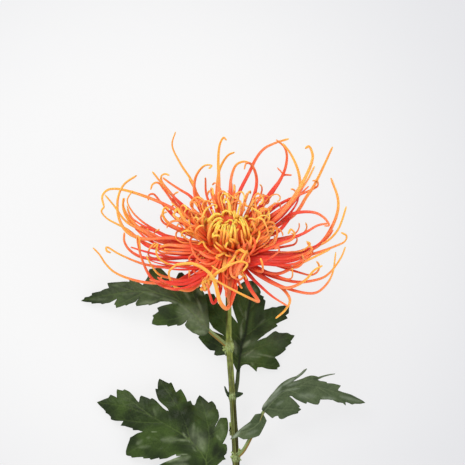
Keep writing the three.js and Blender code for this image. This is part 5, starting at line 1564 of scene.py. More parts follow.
RIBS = 7  # along the stem
RIB_SIDES, STEM_RINGS, STEM_STEPS = 4, 102, 400  # sides a rib, rings of the mesh, steps for finding a knuckle
GROOVE_FLOOR = 0.86  # how far in the grooves between the ribs reach, as a share of the radius
RIM, PITH_DEPTH = 0.22, 0.0025  # of the cut end: the rim as a share of the radius, the hollow of the length
FLAP_SEAT = 0.4  # share of the way round where a flap's upper side ends
UP = (0, 0, 1)
# The last of the stipule colours is that of painted highlights, which the stipules never show.
STIPULE_GREEN, STIPULE_DARK, STIPULE_PAINTED_HIGHLIGHT = light(44, 62, 30), light(30, 42, 20), light(120, 130, 100)


def stem_pattern():
    """The straight stem with its grooves and its hollowed end, and which of its points are pith."""
    tube = straight_tube("stem_pattern", RIBS * RIB_SIDES, STEM_RINGS)
    grooves = [2 * math.pi * (k + 0.5) / RIBS for k in range(RIBS)]

    def in_groove(vert):
        angle = math.atan2(vert.co.x, vert.co.y) % (2 * math.pi)
        return vert.co.xy.length > 0.5 and min(abs(angle - groove) for groove in grooves) < 0.02

    choose(tube, "VERT", in_groove)
    bpy.ops.transform.resize(value=(GROOVE_FLOOR, GROOVE_FLOOR, 1), center_override=(0, 0, 0))
    choose(tube, "FACE", lambda face: face.calc_center_median().z > 0.9999)
    bpy.ops.mesh.inset(thickness=RIM, depth=0)
    bpy.ops.transform.translate(value=(0, 0, -PITH_DEPTH))
    bpy.ops.object.mode_set(mode="OBJECT")
    pattern = Pattern(tube)
    pith = (np.hypot(pattern.places[:, 0], pattern.places[:, 1]) < 0.84) & (pattern.places[:, 2] > 0.99)
    return pattern, pith.astype(float)


class MUM_OT_stem(bpy.types.Operator):
    """Makes the stem with its ribs, knuckles, bud scar, stipules and cut end"""

    bl_idname = "mum.stem"
    bl_label = "Stem"

    def execute(self, context):
        chosen = settings().stem
        pattern, pith = stem_pattern()
        route = np.array(STEM_PLACES) + HEART
        points, shares, length = rings_along(route, STEM_STEPS, 0)
        bumps = []
        for place, half, radius in KNUCKLES:
            nearest = np.argmin(np.linalg.norm(points - (HEART + place), axis=1))
            bumps.append((shares[nearest], half / length, radius))
        top, cut = chosen.top_girth / MM, chosen.cut_girth / MM

        def girth(u):
            plain = top + (cut - top) * u
            radius = plain.copy()
            for at, half, wide in bumps:
                radius += np.maximum(0, wide - plain) * np.exp(-(((u - at) / (0.62 * half)) ** 2))
            return radius * (1 + 0.012 * np.sin(u * 61) + 0.01 * np.sin(u * 143 + 1))

        def collar(u, around):
            mask = np.zeros_like(u)
            for at, half, _ in bumps[:BUD_SCAR] + bumps[BUD_SCAR + 1:]:
                mask = np.maximum(mask, np.exp(-(((u - at) / (0.5 * half)) ** 4)))
            return mask

        # Painted shade down one side of the stem: the left side near the top, the right side lower down.
        rightward = -pattern.places[:, 0]

        def flank(u, around):
            left = smooth(-rightward, -0.1, 0.6) * (1 - smooth(u, 0.2, 0.25))
            return np.maximum(left, smooth(rightward, -0.15, 0.45) * smooth(u, 0.38, 0.5))

        growth = Growth()
        growth.lay(pattern, route, girth, UP, bend_weight=0, collar=collar, flank=flank,
                   pith=lambda u, v: pith, tone=lambda u, v: 0.3)
        flap = Pattern(straight_tube("flap", 8, 2))
        for dark, wide, places in FLAPS:
            growth.lay(flap, np.array(places) + HEART, lambda u: wide * np.sin(math.pi * (0.15 + 0.75 * u)),
                       UP, collar=lambda u, v: 1 - dark, flank=lambda u, v: dark * (v < FLAP_SEAT),
                       pith=lambda u, v: 0, tone=lambda u, v: wide)
        finish_piece(growth.mesh("stem_shoot"), "stem", "stem", stem_material(), sharp_from=50)
        self.stipules()
        return {"FINISHED"}

    def stipules(self):
        """The three small leaflets at a knuckle."""
        pattern = Pattern(flat_tube("stipule", 10, 10, width=1.15, depth=0.45))
        growth = Growth()
        for k, (wide, places) in enumerate(STIPULES):
            growth.lay(pattern, np.array(places) + HEART,
                       lambda u: 0.2 + wide * np.sin(math.pi * (0.22 + 0.74 * u)), UP,
                       tone=lambda u, v: 0.2 + 0.3 * k, pale=lambda u, v: 0, vein=lambda u, v: 0,
                       deep=lambda u, v: 0)
        vein = tuple(settings().leaves.vein_colour)
        green = leaf_material("stipule_skin", STIPULE_GREEN, STIPULE_DARK, vein, STIPULE_PAINTED_HIGHLIGHT,
                              roughness=0.45, vein_share=0.4)
        finish_piece(growth.mesh("stipules"), "stem", "stem", green)


# ---------- leaves ----------

# Every leaf: the side of its stalk that is rusty, its stalk and midrib as places, and for each half its edge
# from base to tip, how much it rises for each millimetre away from the midrib, and how much it bends down.
# Edges, veins and painted light run in the plane of the table. The painted light is in streaks, each from one
# place to another, with its reach and its strength: above 0 a painted highlight, below 0 painted shade. A
# leaf with a fold has painted shade along the crease of its midrib.
LEAVES = {
    "leaf_upper_left": dict(
        rust=-1, stalk=[[-0.4, -57.6, -22.6], [-4.5, -54, -21.2]],
        midrib=[[-10.4, -49, -19.6], [-16.1, -42.7, -18], [-21.5, -37.1, -17], [-27.9, -32.2, -16.6],
                [-34, -29.7, -17], [-42.1, -27.8, -18.2], [-53, -27.3, -21], [-61.5, -28.7, -24.4],
                [-69.6, -29.9, -28.6], [-81.4, -32.7, -35.6]],
        right=dict(tilt=-0.12, droop=0.008, edge=[
            [-10.2, -46.5], [-10.8, -40.3], [-11.6, -33.7], [-13.2, -28.4], [-15.1, -25.1], [-19.8, -20.9],
            [-23.7, -18.5], [-25.5, -16.8], [-27.2, -17.1], [-29.2, -21], [-31.4, -25], [-33, -18.7],
            [-37.4, -14.3], [-43.5, -15.2], [-44.4, -19.5], [-47, -23.8], [-50.6, -21.8], [-54, -20.4],
            [-54.5, -20.8], [-54.5, -22], [-57.2, -21.9], [-60.5, -22.2], [-63.3, -22.4], [-66.7, -22.8],
            [-66.4, -23.9], [-65.7, -25.5], [-68.2, -26.1], [-70.5, -27.3], [-73.2, -27.9], [-75.2, -28.4],
            [-75.4, -29.6], [-77.3, -30.4], [-79.2, -30.7], [-79.8, -31.6]]),
        left=dict(tilt=-0.3, droop=0.01, edge=[
            [-12.1, -51.7], [-14.3, -51.9], [-16.2, -51.6], [-17.6, -50.8], [-19.2, -50.3], [-21.7, -48.4],
            [-23.1, -47.2], [-23.8, -45.7], [-22.6, -43.5], [-21.5, -42.1], [-22.9, -43.7], [-24.8, -45.4],
            [-26.4, -46.1], [-27.8, -46.3], [-28.2, -45.7], [-30.8, -46.2], [-33.1, -46.8], [-33.7, -45.9],
            [-36.3, -46], [-39.1, -46.1], [-42, -45.3], [-41.8, -43.5], [-41.1, -41.8], [-41.7, -40.7],
            [-40.4, -40], [-38.3, -38.5], [-38.5, -37.6], [-39.1, -36.5], [-36.9, -35.5], [-35.2, -35],
            [-33, -34.5], [-30.3, -33.8], [-32.5, -33], [-35.2, -32.8], [-37.4, -32.9], [-39.1, -33.7],
            [-41.2, -34.3], [-43.6, -35], [-44, -34.5], [-47.3, -35], [-50.5, -35.4], [-51, -34.3],
            [-50.6, -33], [-49.5, -31.6], [-47.9, -30], [-49.5, -31.5], [-50.9, -32.9], [-52.8, -33.8],
            [-54.6, -34.3], [-56.3, -35.3], [-56.8, -34.8], [-59.4, -35.8], [-61.8, -36.5], [-62.2, -34.8],
            [-63, -34.6], [-62.4, -33.3], [-61.4, -31.5], [-63.3, -32.5], [-65.5, -33.6], [-67.7, -34],
            [-69.6, -34.5], [-70.5, -33.9], [-72.6, -33.9], [-75.4, -34.2], [-75.6, -33.4],
            [-78.1, -33.3]]),
        veins=[[[-12, -47], [-17, -34], [-24.8, -18.2]], [[-22, -36.7], [-31, -27], [-41, -16.4]],
               [[-38, -28.6], [-46, -25.2], [-53.3, -21.4]], [[-52, -27.3], [-59, -25], [-66, -23.6]],
               [[-14, -45.2], [-17, -47.5], [-21.5, -47]], [[-20, -38.5], [-28, -42], [-40.5, -43.8]],
               [[-33, -30], [-41, -32.6], [-50, -34.6]], [[-46, -27.5], [-54, -31.5], [-61.5, -35.4]]],
        painted_light=[
            (-10.6, -49.4, -26.5, -36.1, 5.2, 0.5), (-11.6, -50.1, -19.2, -49.2, 1.4, 0.75),
            (-72, -30.5, -30, -31, 9, 0.16), (-12.7, -43.7, -17.6, -42.1, 1.1, 0.6),
            (-18.2, -41.5, -27.5, -33.8, 1.1, 0.55), (-27.5, -33.8, -37.4, -31.1, 1, 0.5),
            (-39.1, -32.7, -49, -34.1, 1.4, 0.55), (-37.4, -30.3, -48.4, -27.2, 0.8, 0.45),
            (-49, -28.1, -60.5, -29.2, 0.8, 0.3), (-56.1, -23.1, -63.8, -24.2, 1.2, 0.3),
            (-20.9, -32.5, -25.3, -25.3, 0.7, 0.4), (-13.2, -41.8, -17.1, -31.4, 0.7, 0.4),
            (-76.5, -31.9, -64.9, -31.4, 0.8, 0.3), (-28.6, -38.5, -20.4, -40.7, 0.6, 0.5),
            (-14.3, -29.7, -17.6, -25.3, 0.9, 0.35), (-15.4, -45.7, -12.1, -46.8, 0.9, -0.75),
            (-10.2, -36.3, -11, -42.4, 1, -0.6), (-26.4, -30.3, -22.6, -38, 0.8, -0.6),
            (-35.8, -29.4, -30.3, -31.9, 0.7, -0.45), (-18.2, -31.4, -13.8, -35.8, 1, -0.5),
            (-42.9, -25.3, -31.9, -27, 1.1, -0.3)]),
    "leaf_upper_right": dict(
        rust=0, stalk=[[3.9, -84.4, -28.4], [5.1, -78, -30.6]],
        midrib=[[5.6, -72.6, -31.4], [6.4, -65.6, -31.8], [7.8, -57.1, -31.8], [9.7, -50.2, -31.4],
                [11.2, -38.6, -30.2], [12.4, -31.9, -29.4], [13.8, -21.5, -28.6]],
        right=dict(tilt=-0.05, droop=0.006, edge=[
            [7.4, -68.9], [8.8, -68], [10.2, -67.8], [11.6, -68.2], [13.2, -69.5], [14.5, -70.7],
            [15.8, -71.9], [16, -70.6], [16.4, -69.5], [18.7, -69.4], [20.9, -70.1], [23.1, -70.5],
            [27.4, -70.7], [27.2, -69.9], [28.9, -69], [28.5, -67.7], [27.5, -65.9], [26, -63.9],
            [28.1, -62.9], [30.3, -61.3], [32.1, -59.7], [31.8, -58.9], [33.6, -57.3], [35.3, -56.1],
            [34.7, -55.1], [35.9, -53.5], [36.9, -51.9], [34.9, -51.5], [33.7, -50.7], [32.7, -50.4],
            [30.3, -50.5], [28.3, -50.4], [26.6, -49.4], [25.3, -49.9], [23.1, -51.6], [21.2, -53],
            [18.4, -54], [15.6, -55.1], [18.7, -52.6], [21.2, -50.7], [24.2, -48.7], [27.6, -46.6],
            [26.7, -45.5], [29.2, -44.2], [33, -42.4], [32.6, -41.6], [31.9, -40.7], [33.6, -39.4],
            [33.8, -37.4], [34.2, -35.1], [31.4, -35.2], [28.9, -35.5], [27, -36.2], [24.6, -36.2],
            [22.6, -37], [19.9, -37.7], [20.5, -34.7], [20.8, -32.6], [19.6, -31.5], [19.9, -30.4],
            [17.8, -29.2], [18.2, -27.8], [17.3, -25.6]]),
        left=dict(tilt=-0.04, droop=0.004, edge=[
            [4.4, -70.5], [2.4, -66], [0.5, -63.3], [-1.5, -62.5], [-6.2, -63.1], [-7.7, -62.5],
            [-7.1, -60.4], [-10, -60], [-13.1, -57.1], [-16.5, -52.8], [-13.2, -49.4], [-8.3, -49.6],
            [-2.1, -52], [-8.1, -47.8], [-10.4, -44], [-13.8, -36.3], [-12.7, -28.9], [-7.7, -28.9],
            [-5.4, -34.3], [-1.4, -36.9], [5.4, -45], [2.5, -35.8], [1.9, -30.8], [4.4, -25.3],
            [8.8, -22]]),
        veins=[[[6.2, -67], [15, -67], [27.6, -69]], [[6.9, -62.5], [19, -57.5], [35, -52.6]],
               [[9.2, -52.4], [17.4, -46.2], [33.6, -36.3]], [[11.2, -38.6], [16, -33], [19.6, -30.6]],
               [[6.4, -65.6], [-3, -58.5], [-15.2, -53]], [[8.2, -55.6], [-3, -43.5], [-12.5, -30.5]],
               [[10.6, -43], [6.4, -33], [5.4, -25.4]]],
        fold=1,
        painted_light=[
            (23.1, -48.4, 27.5, -60.5, 6.6, 0.12), (7.5, -45.2, 7.2, -53.4, 0.6, 0.8),
            (8.2, -58.6, 12.4, -54.6, 0.9, 0.75), (7.6, -63, 18.4, -62, 2.4, 0.3),
            (8.2, -64.2, 14.6, -59.6, 0.5, 0.6), (3.6, -54.6, 4.6, -62.8, 0.9, 0.6),
            (13.2, -61.4, 26.4, -64.2, 0.4, 0.55), (9.9, -37.8, 9.7, -43.4, 0.5, 0.45),
            (10.6, -63.4, 18, -63.8, 0.45, 0.6), (10.2, -57.4, 17.2, -53.8, 1.6, 0.2),
            (12.7, -66.8, 14.3, -68.5, 0.5, 0.4), (5.5, -34.1, 8.8, -41.8, 0.4, 0.3),
            (8.2, -23.7, 16, -27.5, 1.5, 0.5), (8.8, -41.8, 6.9, -47.3, 0.4, 0.35),
            (16.5, -46.2, 20.9, -42.4, 0.4, 0.25), (1.1, -53.9, 3.3, -64.9, 0.9, -0.5),
            (12.7, -31.9, 11.8, -42.9, 0.8, -0.5), (18.7, -58.3, 31.4, -57.8, 1.4, -0.25),
            (9.9, -49, 8.2, -54.5, 0.7, -0.5), (22, -44.6, 14.9, -50.1, 0.6, -0.4)]),
    "leaf_lower_left": dict(
        rust=-1, stalk=[[3.8, -138.4, -32.2], [-3, -133.6, -30.2]],
        midrib=[[-11, -127.6, -28.6], [-12.8, -120.3, -27.6], [-21.8, -109, -25.6], [-30.8, -103.1, -25.2],
                [-38, -98.9, -25.8], [-45.7, -95, -27], [-57.5, -91.1, -30], [-72.6, -88.9, -35.6]],
        right=dict(tilt=-0.08, droop=0.006, edge=[
            [-4.6, -122.4], [-2.8, -120.8], [-1.2, -120.4], [-2.1, -119.2], [-2.2, -118.3], [-1, -117.3],
            [-0.4, -114.7], [-0.7, -112.5], [-1.5, -111.8], [-3, -111.8], [-1.8, -109.7], [-0.8, -107.7],
            [-0.1, -105.1], [0, -102], [-0.3, -98.7], [-0.8, -97.5], [-3, -97.4], [-4.3, -97.5],
            [-5.5, -99.4], [-6.6, -101.6], [-7.7, -103.5], [-6.5, -100.9], [-5.4, -98.6], [-5, -96.5],
            [-5.3, -94.5], [-5.8, -93], [-6.4, -92.6], [-6.8, -90.9], [-8, -89.1], [-9, -88.2],
            [-10.1, -88.7], [-10.8, -89.1], [-12.4, -87.7], [-14, -86.2], [-15.7, -84.9], [-16.6, -86.2],
            [-17.5, -87.8], [-17.9, -89.4], [-18.5, -90.5], [-19.6, -90.2], [-20.2, -88.9], [-20.7, -87.8],
            [-21.7, -88.2], [-22.6, -88.4], [-23.1, -86.9], [-24, -84.9], [-25, -83.2], [-26.2, -81.5],
            [-27.3, -82.1], [-28.7, -83.3], [-29.5, -82], [-30.4, -79.9], [-31.1, -78.4], [-31.6, -77.8],
            [-32.8, -78.4], [-34.9, -77.4], [-36.6, -76.5], [-38, -75.8], [-38.7, -77.6], [-38.9, -79.8],
            [-38.9, -81.4], [-40.2, -81.3], [-39.9, -83.2], [-39.3, -85.4], [-38.4, -87.6], [-36.9, -89.1],
            [-34.9, -90.8], [-33.6, -92], [-32.8, -93.4], [-34.1, -93.3], [-36, -92], [-37.7, -90.2],
            [-39.1, -88.7], [-40.5, -87.4], [-42, -86.5], [-43.1, -87.1], [-44.8, -86.2], [-46.5, -85.6],
            [-48.1, -85.1], [-48.7, -85.8], [-49, -87.2], [-49.3, -88.9], [-50.4, -87.8], [-51.7, -86.1],
            [-53.1, -84.4], [-54.5, -83.1], [-55.9, -82.3], [-57.3, -81.7], [-58.2, -82.4], [-59.7, -82.1],
            [-61.4, -81.7], [-61.7, -83.1], [-61.6, -84.7], [-61.5, -86.4], [-63.3, -85.4], [-65.1, -84.7],
            [-65.7, -85.6], [-66.3, -86.4], [-68.2, -87.1], [-69.9, -87.8]]),
        left=dict(tilt=-0.16, droop=0.006, edge=[
            [-17.6, -130.9], [-26.4, -133.1], [-35.8, -132], [-41.8, -128.7], [-38.5, -124],
            [-36.6, -122.8], [-34.1, -121.7], [-31.4, -120.6], [-28.6, -119.5], [-25, -118.2],
            [-28.5, -118.6], [-28.8, -117.5], [-30.8, -118.4], [-33.6, -119.7], [-35.8, -120],
            [-37.8, -120.3], [-38.1, -119.4], [-40.4, -120], [-42.8, -120.6], [-43.3, -119.8],
            [-45.7, -120], [-46.8, -120], [-47.1, -119.2], [-50.3, -119.3], [-53.2, -119.5],
            [-53.7, -118.6], [-55.3, -118.5], [-56.4, -118], [-56.5, -116.3], [-55.9, -113.6],
            [-55.2, -111.4], [-54.5, -109.6], [-54.2, -108.4], [-52.3, -107.3], [-50.1, -105.9],
            [-47.1, -105.1], [-49.8, -104.2], [-52.5, -104.2], [-52.8, -103.1], [-55, -102.6],
            [-57.2, -102], [-59.5, -101.8], [-58.6, -100.4], [-57.9, -99.2], [-60.2, -99.2], [-62.7, -99.1],
            [-64.8, -98.4], [-65, -96.8], [-66.3, -95.6], [-67.7, -94.7], [-67.8, -93.9], [-68.8, -92.7],
            [-70.4, -91.3]]),
        veins=[[[-12.4, -122], [-10.7, -112], [-11, -103.7], [-12.6, -95], [-15.6, -86.6]],
               [[-20.6, -110.4], [-25.6, -95.5], [-33.7, -82.8], [-37.6, -77.4]],
               [[-21.8, -109], [-27.7, -109.6], [-47.4, -112.6], [-55.4, -117]],
               [[-12.2, -123], [-6.5, -118], [-1.4, -114.2]], [[-10.8, -108], [-5, -104], [-0.9, -99]],
               [[-12, -125.6], [-25, -127.6], [-40.6, -128.4]],
               [[-36.5, -99.8], [-49, -99.6], [-63, -97.6]], [[-41.5, -97], [-51, -90], [-60.4, -83]]],
        painted_light=[
            (-18.8, -100.4, -19.4, -108.8, 0.9, 0.45), (-16.8, -102.3, -16.9, -108.2, 0.6, 0.35),
            (-20.4, -103.6, -13, -115.4, 4.2, 0.28), (-16.4, -106.5, -13.2, -116.1, 2.3, 0.5),
            (-16, -108.8, -13.2, -116.4, 1.1, 0.6), (-15.4, -108.4, -14.7, -113, 0.8, 0.45),
            (-25.3, -105.3, -22.8, -108.9, 0.5, 0.6), (-22.6, -109.5, -20.9, -110.8, 0.4, 0.6),
            (-37, -109.5, -27.4, -109.2, 1.3, 0.5), (-30.6, -109.2, -20.9, -110, 0.6, 0.5),
            (-42.5, -105, -39.1, -105.1, 0.2, 0.8), (-50.6, -112.2, -47.3, -109.5, 1.1, 0.35),
            (-45.1, -108.4, -42.9, -108.1, 0.6, 0.35), (-49.5, -113.9, -42.9, -113, 0.7, 0.3),
            (-4.2, -98, -3.4, -110, 3.4, 0.16), (-14, -88, -8, -98, 4, 0.1),
            (-3.9, -100.7, -2.2, -106.7, 1.2, 0.4), (-6.6, -106.7, -3.9, -110, 0.7, 0.45),
            (-34.7, -121.6, -25.3, -119.1, 1, 0.9), (-28.6, -118.1, -22, -117.3, 0.3, 0.8),
            (-28.6, -121.6, -20.9, -118.8, 1.3, 0.5), (-42.9, -99.6, -33, -101.8, 2.2, -0.35),
            (-41.2, -92.4, -39.6, -96.3, 0.8, 0.2), (-19.8, -113.3, -17.6, -116.1, 0.4, 0.45),
            (-31.9, -124.3, -22, -123.2, 1.7, 0.5), (-23.1, -88, -20.9, -100.1, 4, -0.75),
            (-33, -94.6, -18.7, -98.5, 4, -0.7), (-6.1, -111.7, -8.2, -119.4, 1.9, -0.95),
            (-2.2, -114.4, -5.5, -119.9, 1.4, -0.7), (-42.4, -93, -40.7, -97.9, 0.9, -0.5),
            (-29.7, -112.2, -20.4, -113, 0.7, -0.45), (-9.4, -102.3, -8.8, -108.9, 1.2, -0.7),
            (-60.5, -93.2, -45.1, -96, 1.1, -0.3), (-19.2, -111.1, -17.6, -113.9, 0.4, -0.6)]),
    "leaf_lower_right": dict(
        rust=1, stalk=[[4.4, -119.4, -30.2], [8.1, -116, -28], [12.2, -108.9, -25], [16.5, -100, -21.6]],
        midrib=[[19.8, -93.6, -19.4], [25.9, -86.9, -16.8], [33, -81.4, -15], [42.4, -79.2, -14.4],
                [53.4, -80.9, -16.4], [64.4, -84.7, -20.4], [75.9, -88.9, -26]],
        left=dict(tilt=0.9, droop=0, edge=[
            [18.7, -92.6], [19.5, -90.2], [21.2, -88], [23.1, -85.4], [25.3, -82.8], [27.2, -80.5],
            [29.4, -78.2], [31.9, -76.5], [34.4, -75.2], [37.7, -74.1], [39.9, -72.5], [41.9, -70.6],
            [43.5, -69.8], [42.2, -71.7], [40.4, -73.4], [38.2, -75], [34.9, -77.3], [38, -76.6],
            [41, -75.5], [43.5, -74.4], [45.7, -73.8], [48.1, -74], [49.8, -74.6], [52.3, -73.9],
            [55.3, -73.2], [59, -72.7], [56.1, -73.3], [52.8, -74.2], [49, -76.1], [50.9, -76.8],
            [54.3, -77.4], [54.8, -78.1], [57.8, -78.3], [62.2, -79.4], [61.2, -80.7], [60.6, -82.1],
            [63.5, -83.2], [67.6, -84.4], [71.5, -86.4]]),
        right=dict(tilt=-0.45, droop=0.004, edge=[
            [20.6, -94.1], [22.6, -95.9], [24.5, -97.4], [26.1, -96.3], [27.5, -96], [28.3, -97.5],
            [29.4, -97.9], [30.8, -97.6], [33, -96.3], [35.8, -95.3], [38.7, -94.6], [39.1, -93.5],
            [40.4, -92.6], [38.9, -91.7], [39.7, -91.1], [38.5, -89.7], [36.9, -87.9], [34.9, -86.1],
            [33.4, -84.8], [35.4, -85.1], [36.9, -86.4], [39.1, -87.6], [41.5, -88.7], [43.2, -89.4],
            [43.7, -88.3], [45.7, -89.1], [47.9, -89.7], [49.8, -89.8], [50.6, -88.6], [51, -87],
            [55, -86.9], [57.8, -87.3], [60.5, -88.6], [63.4, -89], [65, -90.4], [65, -88.4], [67.1, -89.1],
            [68.6, -89.9], [69.9, -89.4], [73.2, -89.5]]),
        veins=[[[21.5, -91.6], [28, -92.6], [38.6, -92.8]], [[33.4, -81.4], [41, -84.6], [49.6, -88.8]],
               [[50, -80.3], [56, -84], [64.4, -88.8]], [[31, -82.6], [36.5, -76.5], [42.6, -71]],
               [[38.5, -79.8], [47, -75.6], [57, -73.4]]],
        painted_light=[
            (18.7, -91.6, 23.1, -86.1, 0.8, 0.8), (23.1, -86.1, 29.7, -79.2, 0.7, 0.9),
            (29.7, -79.2, 37.4, -74.5, 0.6, 0.8), (37.4, -74.5, 43.2, -70, 0.4, 0.7),
            (19.8, -90.5, 29.2, -82.2, 0.7, 0.55), (29.2, -82.2, 39.6, -80.6, 0.5, 0.45),
            (38, -84.7, 48.4, -85, 1.3, 0.35), (61.6, -85, 73.7, -88.2, 0.8, 0.45),
            (50.1, -75.1, 58.3, -72.9, 0.4, 0.7), (31.9, -79.5, 39.6, -77, 0.6, 0.45),
            (51.7, -85.8, 59.4, -86.6, 0.9, 0.4), (26.4, -90.2, 30.8, -87.5, 0.7, 0.3),
            (39.6, -82.5, 49, -78.7, 1.3, -0.45), (30.8, -80.9, 38.5, -77.2, 0.4, -0.6),
            (46.8, -75.5, 49.8, -75, 0.6, -0.8), (22, -89.1, 29.2, -83.6, 0.4, -0.4),
            (35.2, -86.9, 38.5, -91.3, 1.1, -0.25), (18.7, -92.4, 20.9, -90.8, 0.8, -0.4)]),
}
# A small lobe low on the lower right leaf's stalk, apart from the rest. Its tip crosses over the stem.
LOW_LOBE = dict(
    midrib=[[19.2, -94.8, -20.2], [17, -100, -20.8], [12.5, -103.5, -21.6], [7.6, -105.4, -22.8],
            [1.1, -109.2, -24.4]],
    left=dict(tilt=-0.1, droop=0, edge=[
        [15.1, -95.2], [12.2, -99.3], [7.4, -102.9], [4.2, -105.8]]),
    right=dict(tilt=0.1, droop=0, edge=[
        [21.4, -98.8], [19.3, -103.5], [17.2, -107.1], [12.8, -108.6], [8.6, -109.2], [6, -107.8]]),
    veins=[],
    painted_light=[
        (1.7, -110, 6.6, -104.5, 0.7, 0.9), (6.6, -104, 12.7, -100.4, 0.6, 0.5),
        (14.3, -95.7, 16.5, -93.5, 0.6, 0.4), (9.9, -106.7, 16.5, -104, 0.7, 0.25)])


def turned_left(a, b, c):
    """Above 0 where the way from a to b to c turns left, and below 0 where it turns right."""
    return (b[0] - a[0]) * (c[1] - b[1]) - (b[1] - a[1]) * (c[0] - b[0])


OUTLINE_SWELL = 0.02  # how far a stretch between two corners swells, as a share of its length


def rounded_outline(corners, step):
    """The outline with short steps, each stretch between two corners swelling outwards. corners run
    counter-clockwise. Notches stay sharp."""
    count = len(corners)
    outline = []
    for i in range(count):
        a, b = corners[i], corners[(i + 1) % count]
        start_notch = turned_left(corners[i - 1], a, b) < 0
        end_notch = turned_left(a, b, corners[(i + 2) % count]) < 0
        length = np.linalg.norm(b - a)
        outward = np.array([b[1] - a[1], a[0] - b[0]]) / max(length, 1e-6)
        pieces = max(1, math.ceil(length / step))
        for k in range(pieces):
            t = k / pieces
            rise = (t ** (2 if start_notch else 1)) * ((1 - t) ** (2 if end_notch else 1))
            outline.append(a + (b - a) * t + outward * 4 * rise * OUTLINE_SWELL * length)
    return np.array(outline)


def inside(points, outline):
    """True for each point that lies inside the outline."""
    x, y = points[:, 0][:, None], points[:, 1][:, None]
    ax, ay = outline[:, 0], outline[:, 1]
    bx, by = np.roll(ax, -1), np.roll(ay, -1)
    crosses = (ay > y) != (by > y)
    slope = np.where(by == ay, 1e-9, by - ay)
    left = x < ax + (bx - ax) * (y - ay) / slope
    return (crosses & left).sum(axis=1) % 2 == 1


def distance_to(points, places):
    """Distance from each point to the nearest of the places, and which it is."""
    gaps = np.linalg.norm(points[:, None, :] - places[None, :, :], axis=2)
    nearest = gaps.argmin(axis=1)
    return gaps[np.arange(len(points)), nearest], nearest


LOBE_VEIN = 0.8  # strength of a lobe's vein, where the midrib's is 1
VEIN_END = 0.45  # share of its strength that a vein keeps at its end
SIDE_VEIN, SIDE_VEIN_END = 0.42, 0.12  # the same shares for the side veins
FIRST_SIDE_VEIN, SIDE_VEIN_GAP = 4.0, 2.3  # millimetres along a vein to its first side vein, and to the next
LAST_SIDE_VEIN = 1.5  # the last one leaves at least this far from the vein's end
SIDE_STRIDE, SIDE_STRIDES, LEAST_STRIDES = 0.35, 25, 5  # a side vein's steps, at most and at least
VEIN_CLEARANCE = 0.8  # a side vein ends where another vein is this near


def veins_of(shape, midrib, outline):
    """Every vein as its points on the table and its strength at each: the midrib, the veins of the lobes, and
    side veins that branch from both."""
    main = [(midrib[:, :2], 1.0)]
    for vein in shape["veins"]:
        places = np.array([[*place, 0] for place in vein], float) + HEART
        main.append((spots(places, 60)[:, :2], LOBE_VEIN))
    points, strengths = [], []
    for track, strength in main:
        points.append(track)
        strengths.append(np.linspace(strength, strength * VEIN_END, len(track)))
    for track, strength in main:
        steps = np.linalg.norm(np.diff(track, axis=0), axis=1)
        travelled = np.concatenate([[0], np.cumsum(steps)])
        at, side = FIRST_SIDE_VEIN, 1
        while at < travelled[-1] - LAST_SIDE_VEIN:
            i = min(int(np.searchsorted(travelled, at)), len(track) - 2)
            heading = track[i + 1] - track[i]
            heading /= np.linalg.norm(heading)
            normal = np.array([-heading[1], heading[0]]) * side
            walk = [track[i]]
            others = np.concatenate([t for t, _ in main if t is not track] or [np.full((1, 2), 1e6)])
            for k in range(1, SIDE_STRIDES + 1):
                way = heading * (0.62 + 0.012 * k) + normal * 0.78
                here = walk[-1] + SIDE_STRIDE * way
                nearest = np.linalg.norm(others - here, axis=1).min()
                if not inside(here[None], outline)[0] or nearest < VEIN_CLEARANCE:
                    break
                walk.append(here)
            if len(walk) > LEAST_STRIDES:
                points.append(np.array(walk))
                strengths.append(np.linspace(SIDE_VEIN, SIDE_VEIN_END, len(walk)) * strength)
            side = -side
            at += SIDE_VEIN_GAP
    return np.concatenate(points), np.concatenate(strengths)


# Distances as shares of the mesh's spacing: the least from the grid to the edge, from a vein's points to the
# edge and from the grid to a vein's points, and the distance between the points of a vein.
GRID_TO_EDGE, VEIN_TO_EDGE, GRID_TO_VEIN, VEIN_SPACING = 0.5, 0.4, 0.55, 0.6
LEAST_VEIN = 0.15  # strength from which a vein gets points of its own
VEIN_DEPTH = 0.3  # how deeply a vein lies in the blade
LOWEST = 0.45  # height of a blade's lowest point above the table
# Waves in a blade: the height, how fast it bends across and along, and how far it turns from leaf to leaf.
WAVES = ((0.45, 0.42, 0.31, 1), (0.3, -0.37, 0.83, 2))
WAVES_FROM = 14  # distance from the midrib at which the waves are full
PUFF_WIDTH, RIDGE_WIDTH, VEIN_WIDTH, PAINTED_SHADE_WIDTH = 2.2, 0.5, 0.27, 1.6  # reach of each beside a vein


def beside(gap, width):
    """1 on a line, and less the farther from it."""
    return np.exp(-((gap / width) ** 2))


def outline_of(shape, rib, step):
    """The rounded outline of a leaf, counter-clockwise, from both its edges."""
    right, left = ([rib[0, :2], *(np.array(place) + HEART[:2] for place in shape[side]["edge"]), rib[-1, :2]]
                   for side in ("right", "left"))
    corners = right[:-1] + left[:0:-1]
    area = sum(a[0] * b[1] - b[0] * a[1] for a, b in zip(corners, corners[1:] + corners[:1]))
    if area < 0:
        corners = corners[::-1]
    return rounded_outline(corners, step)


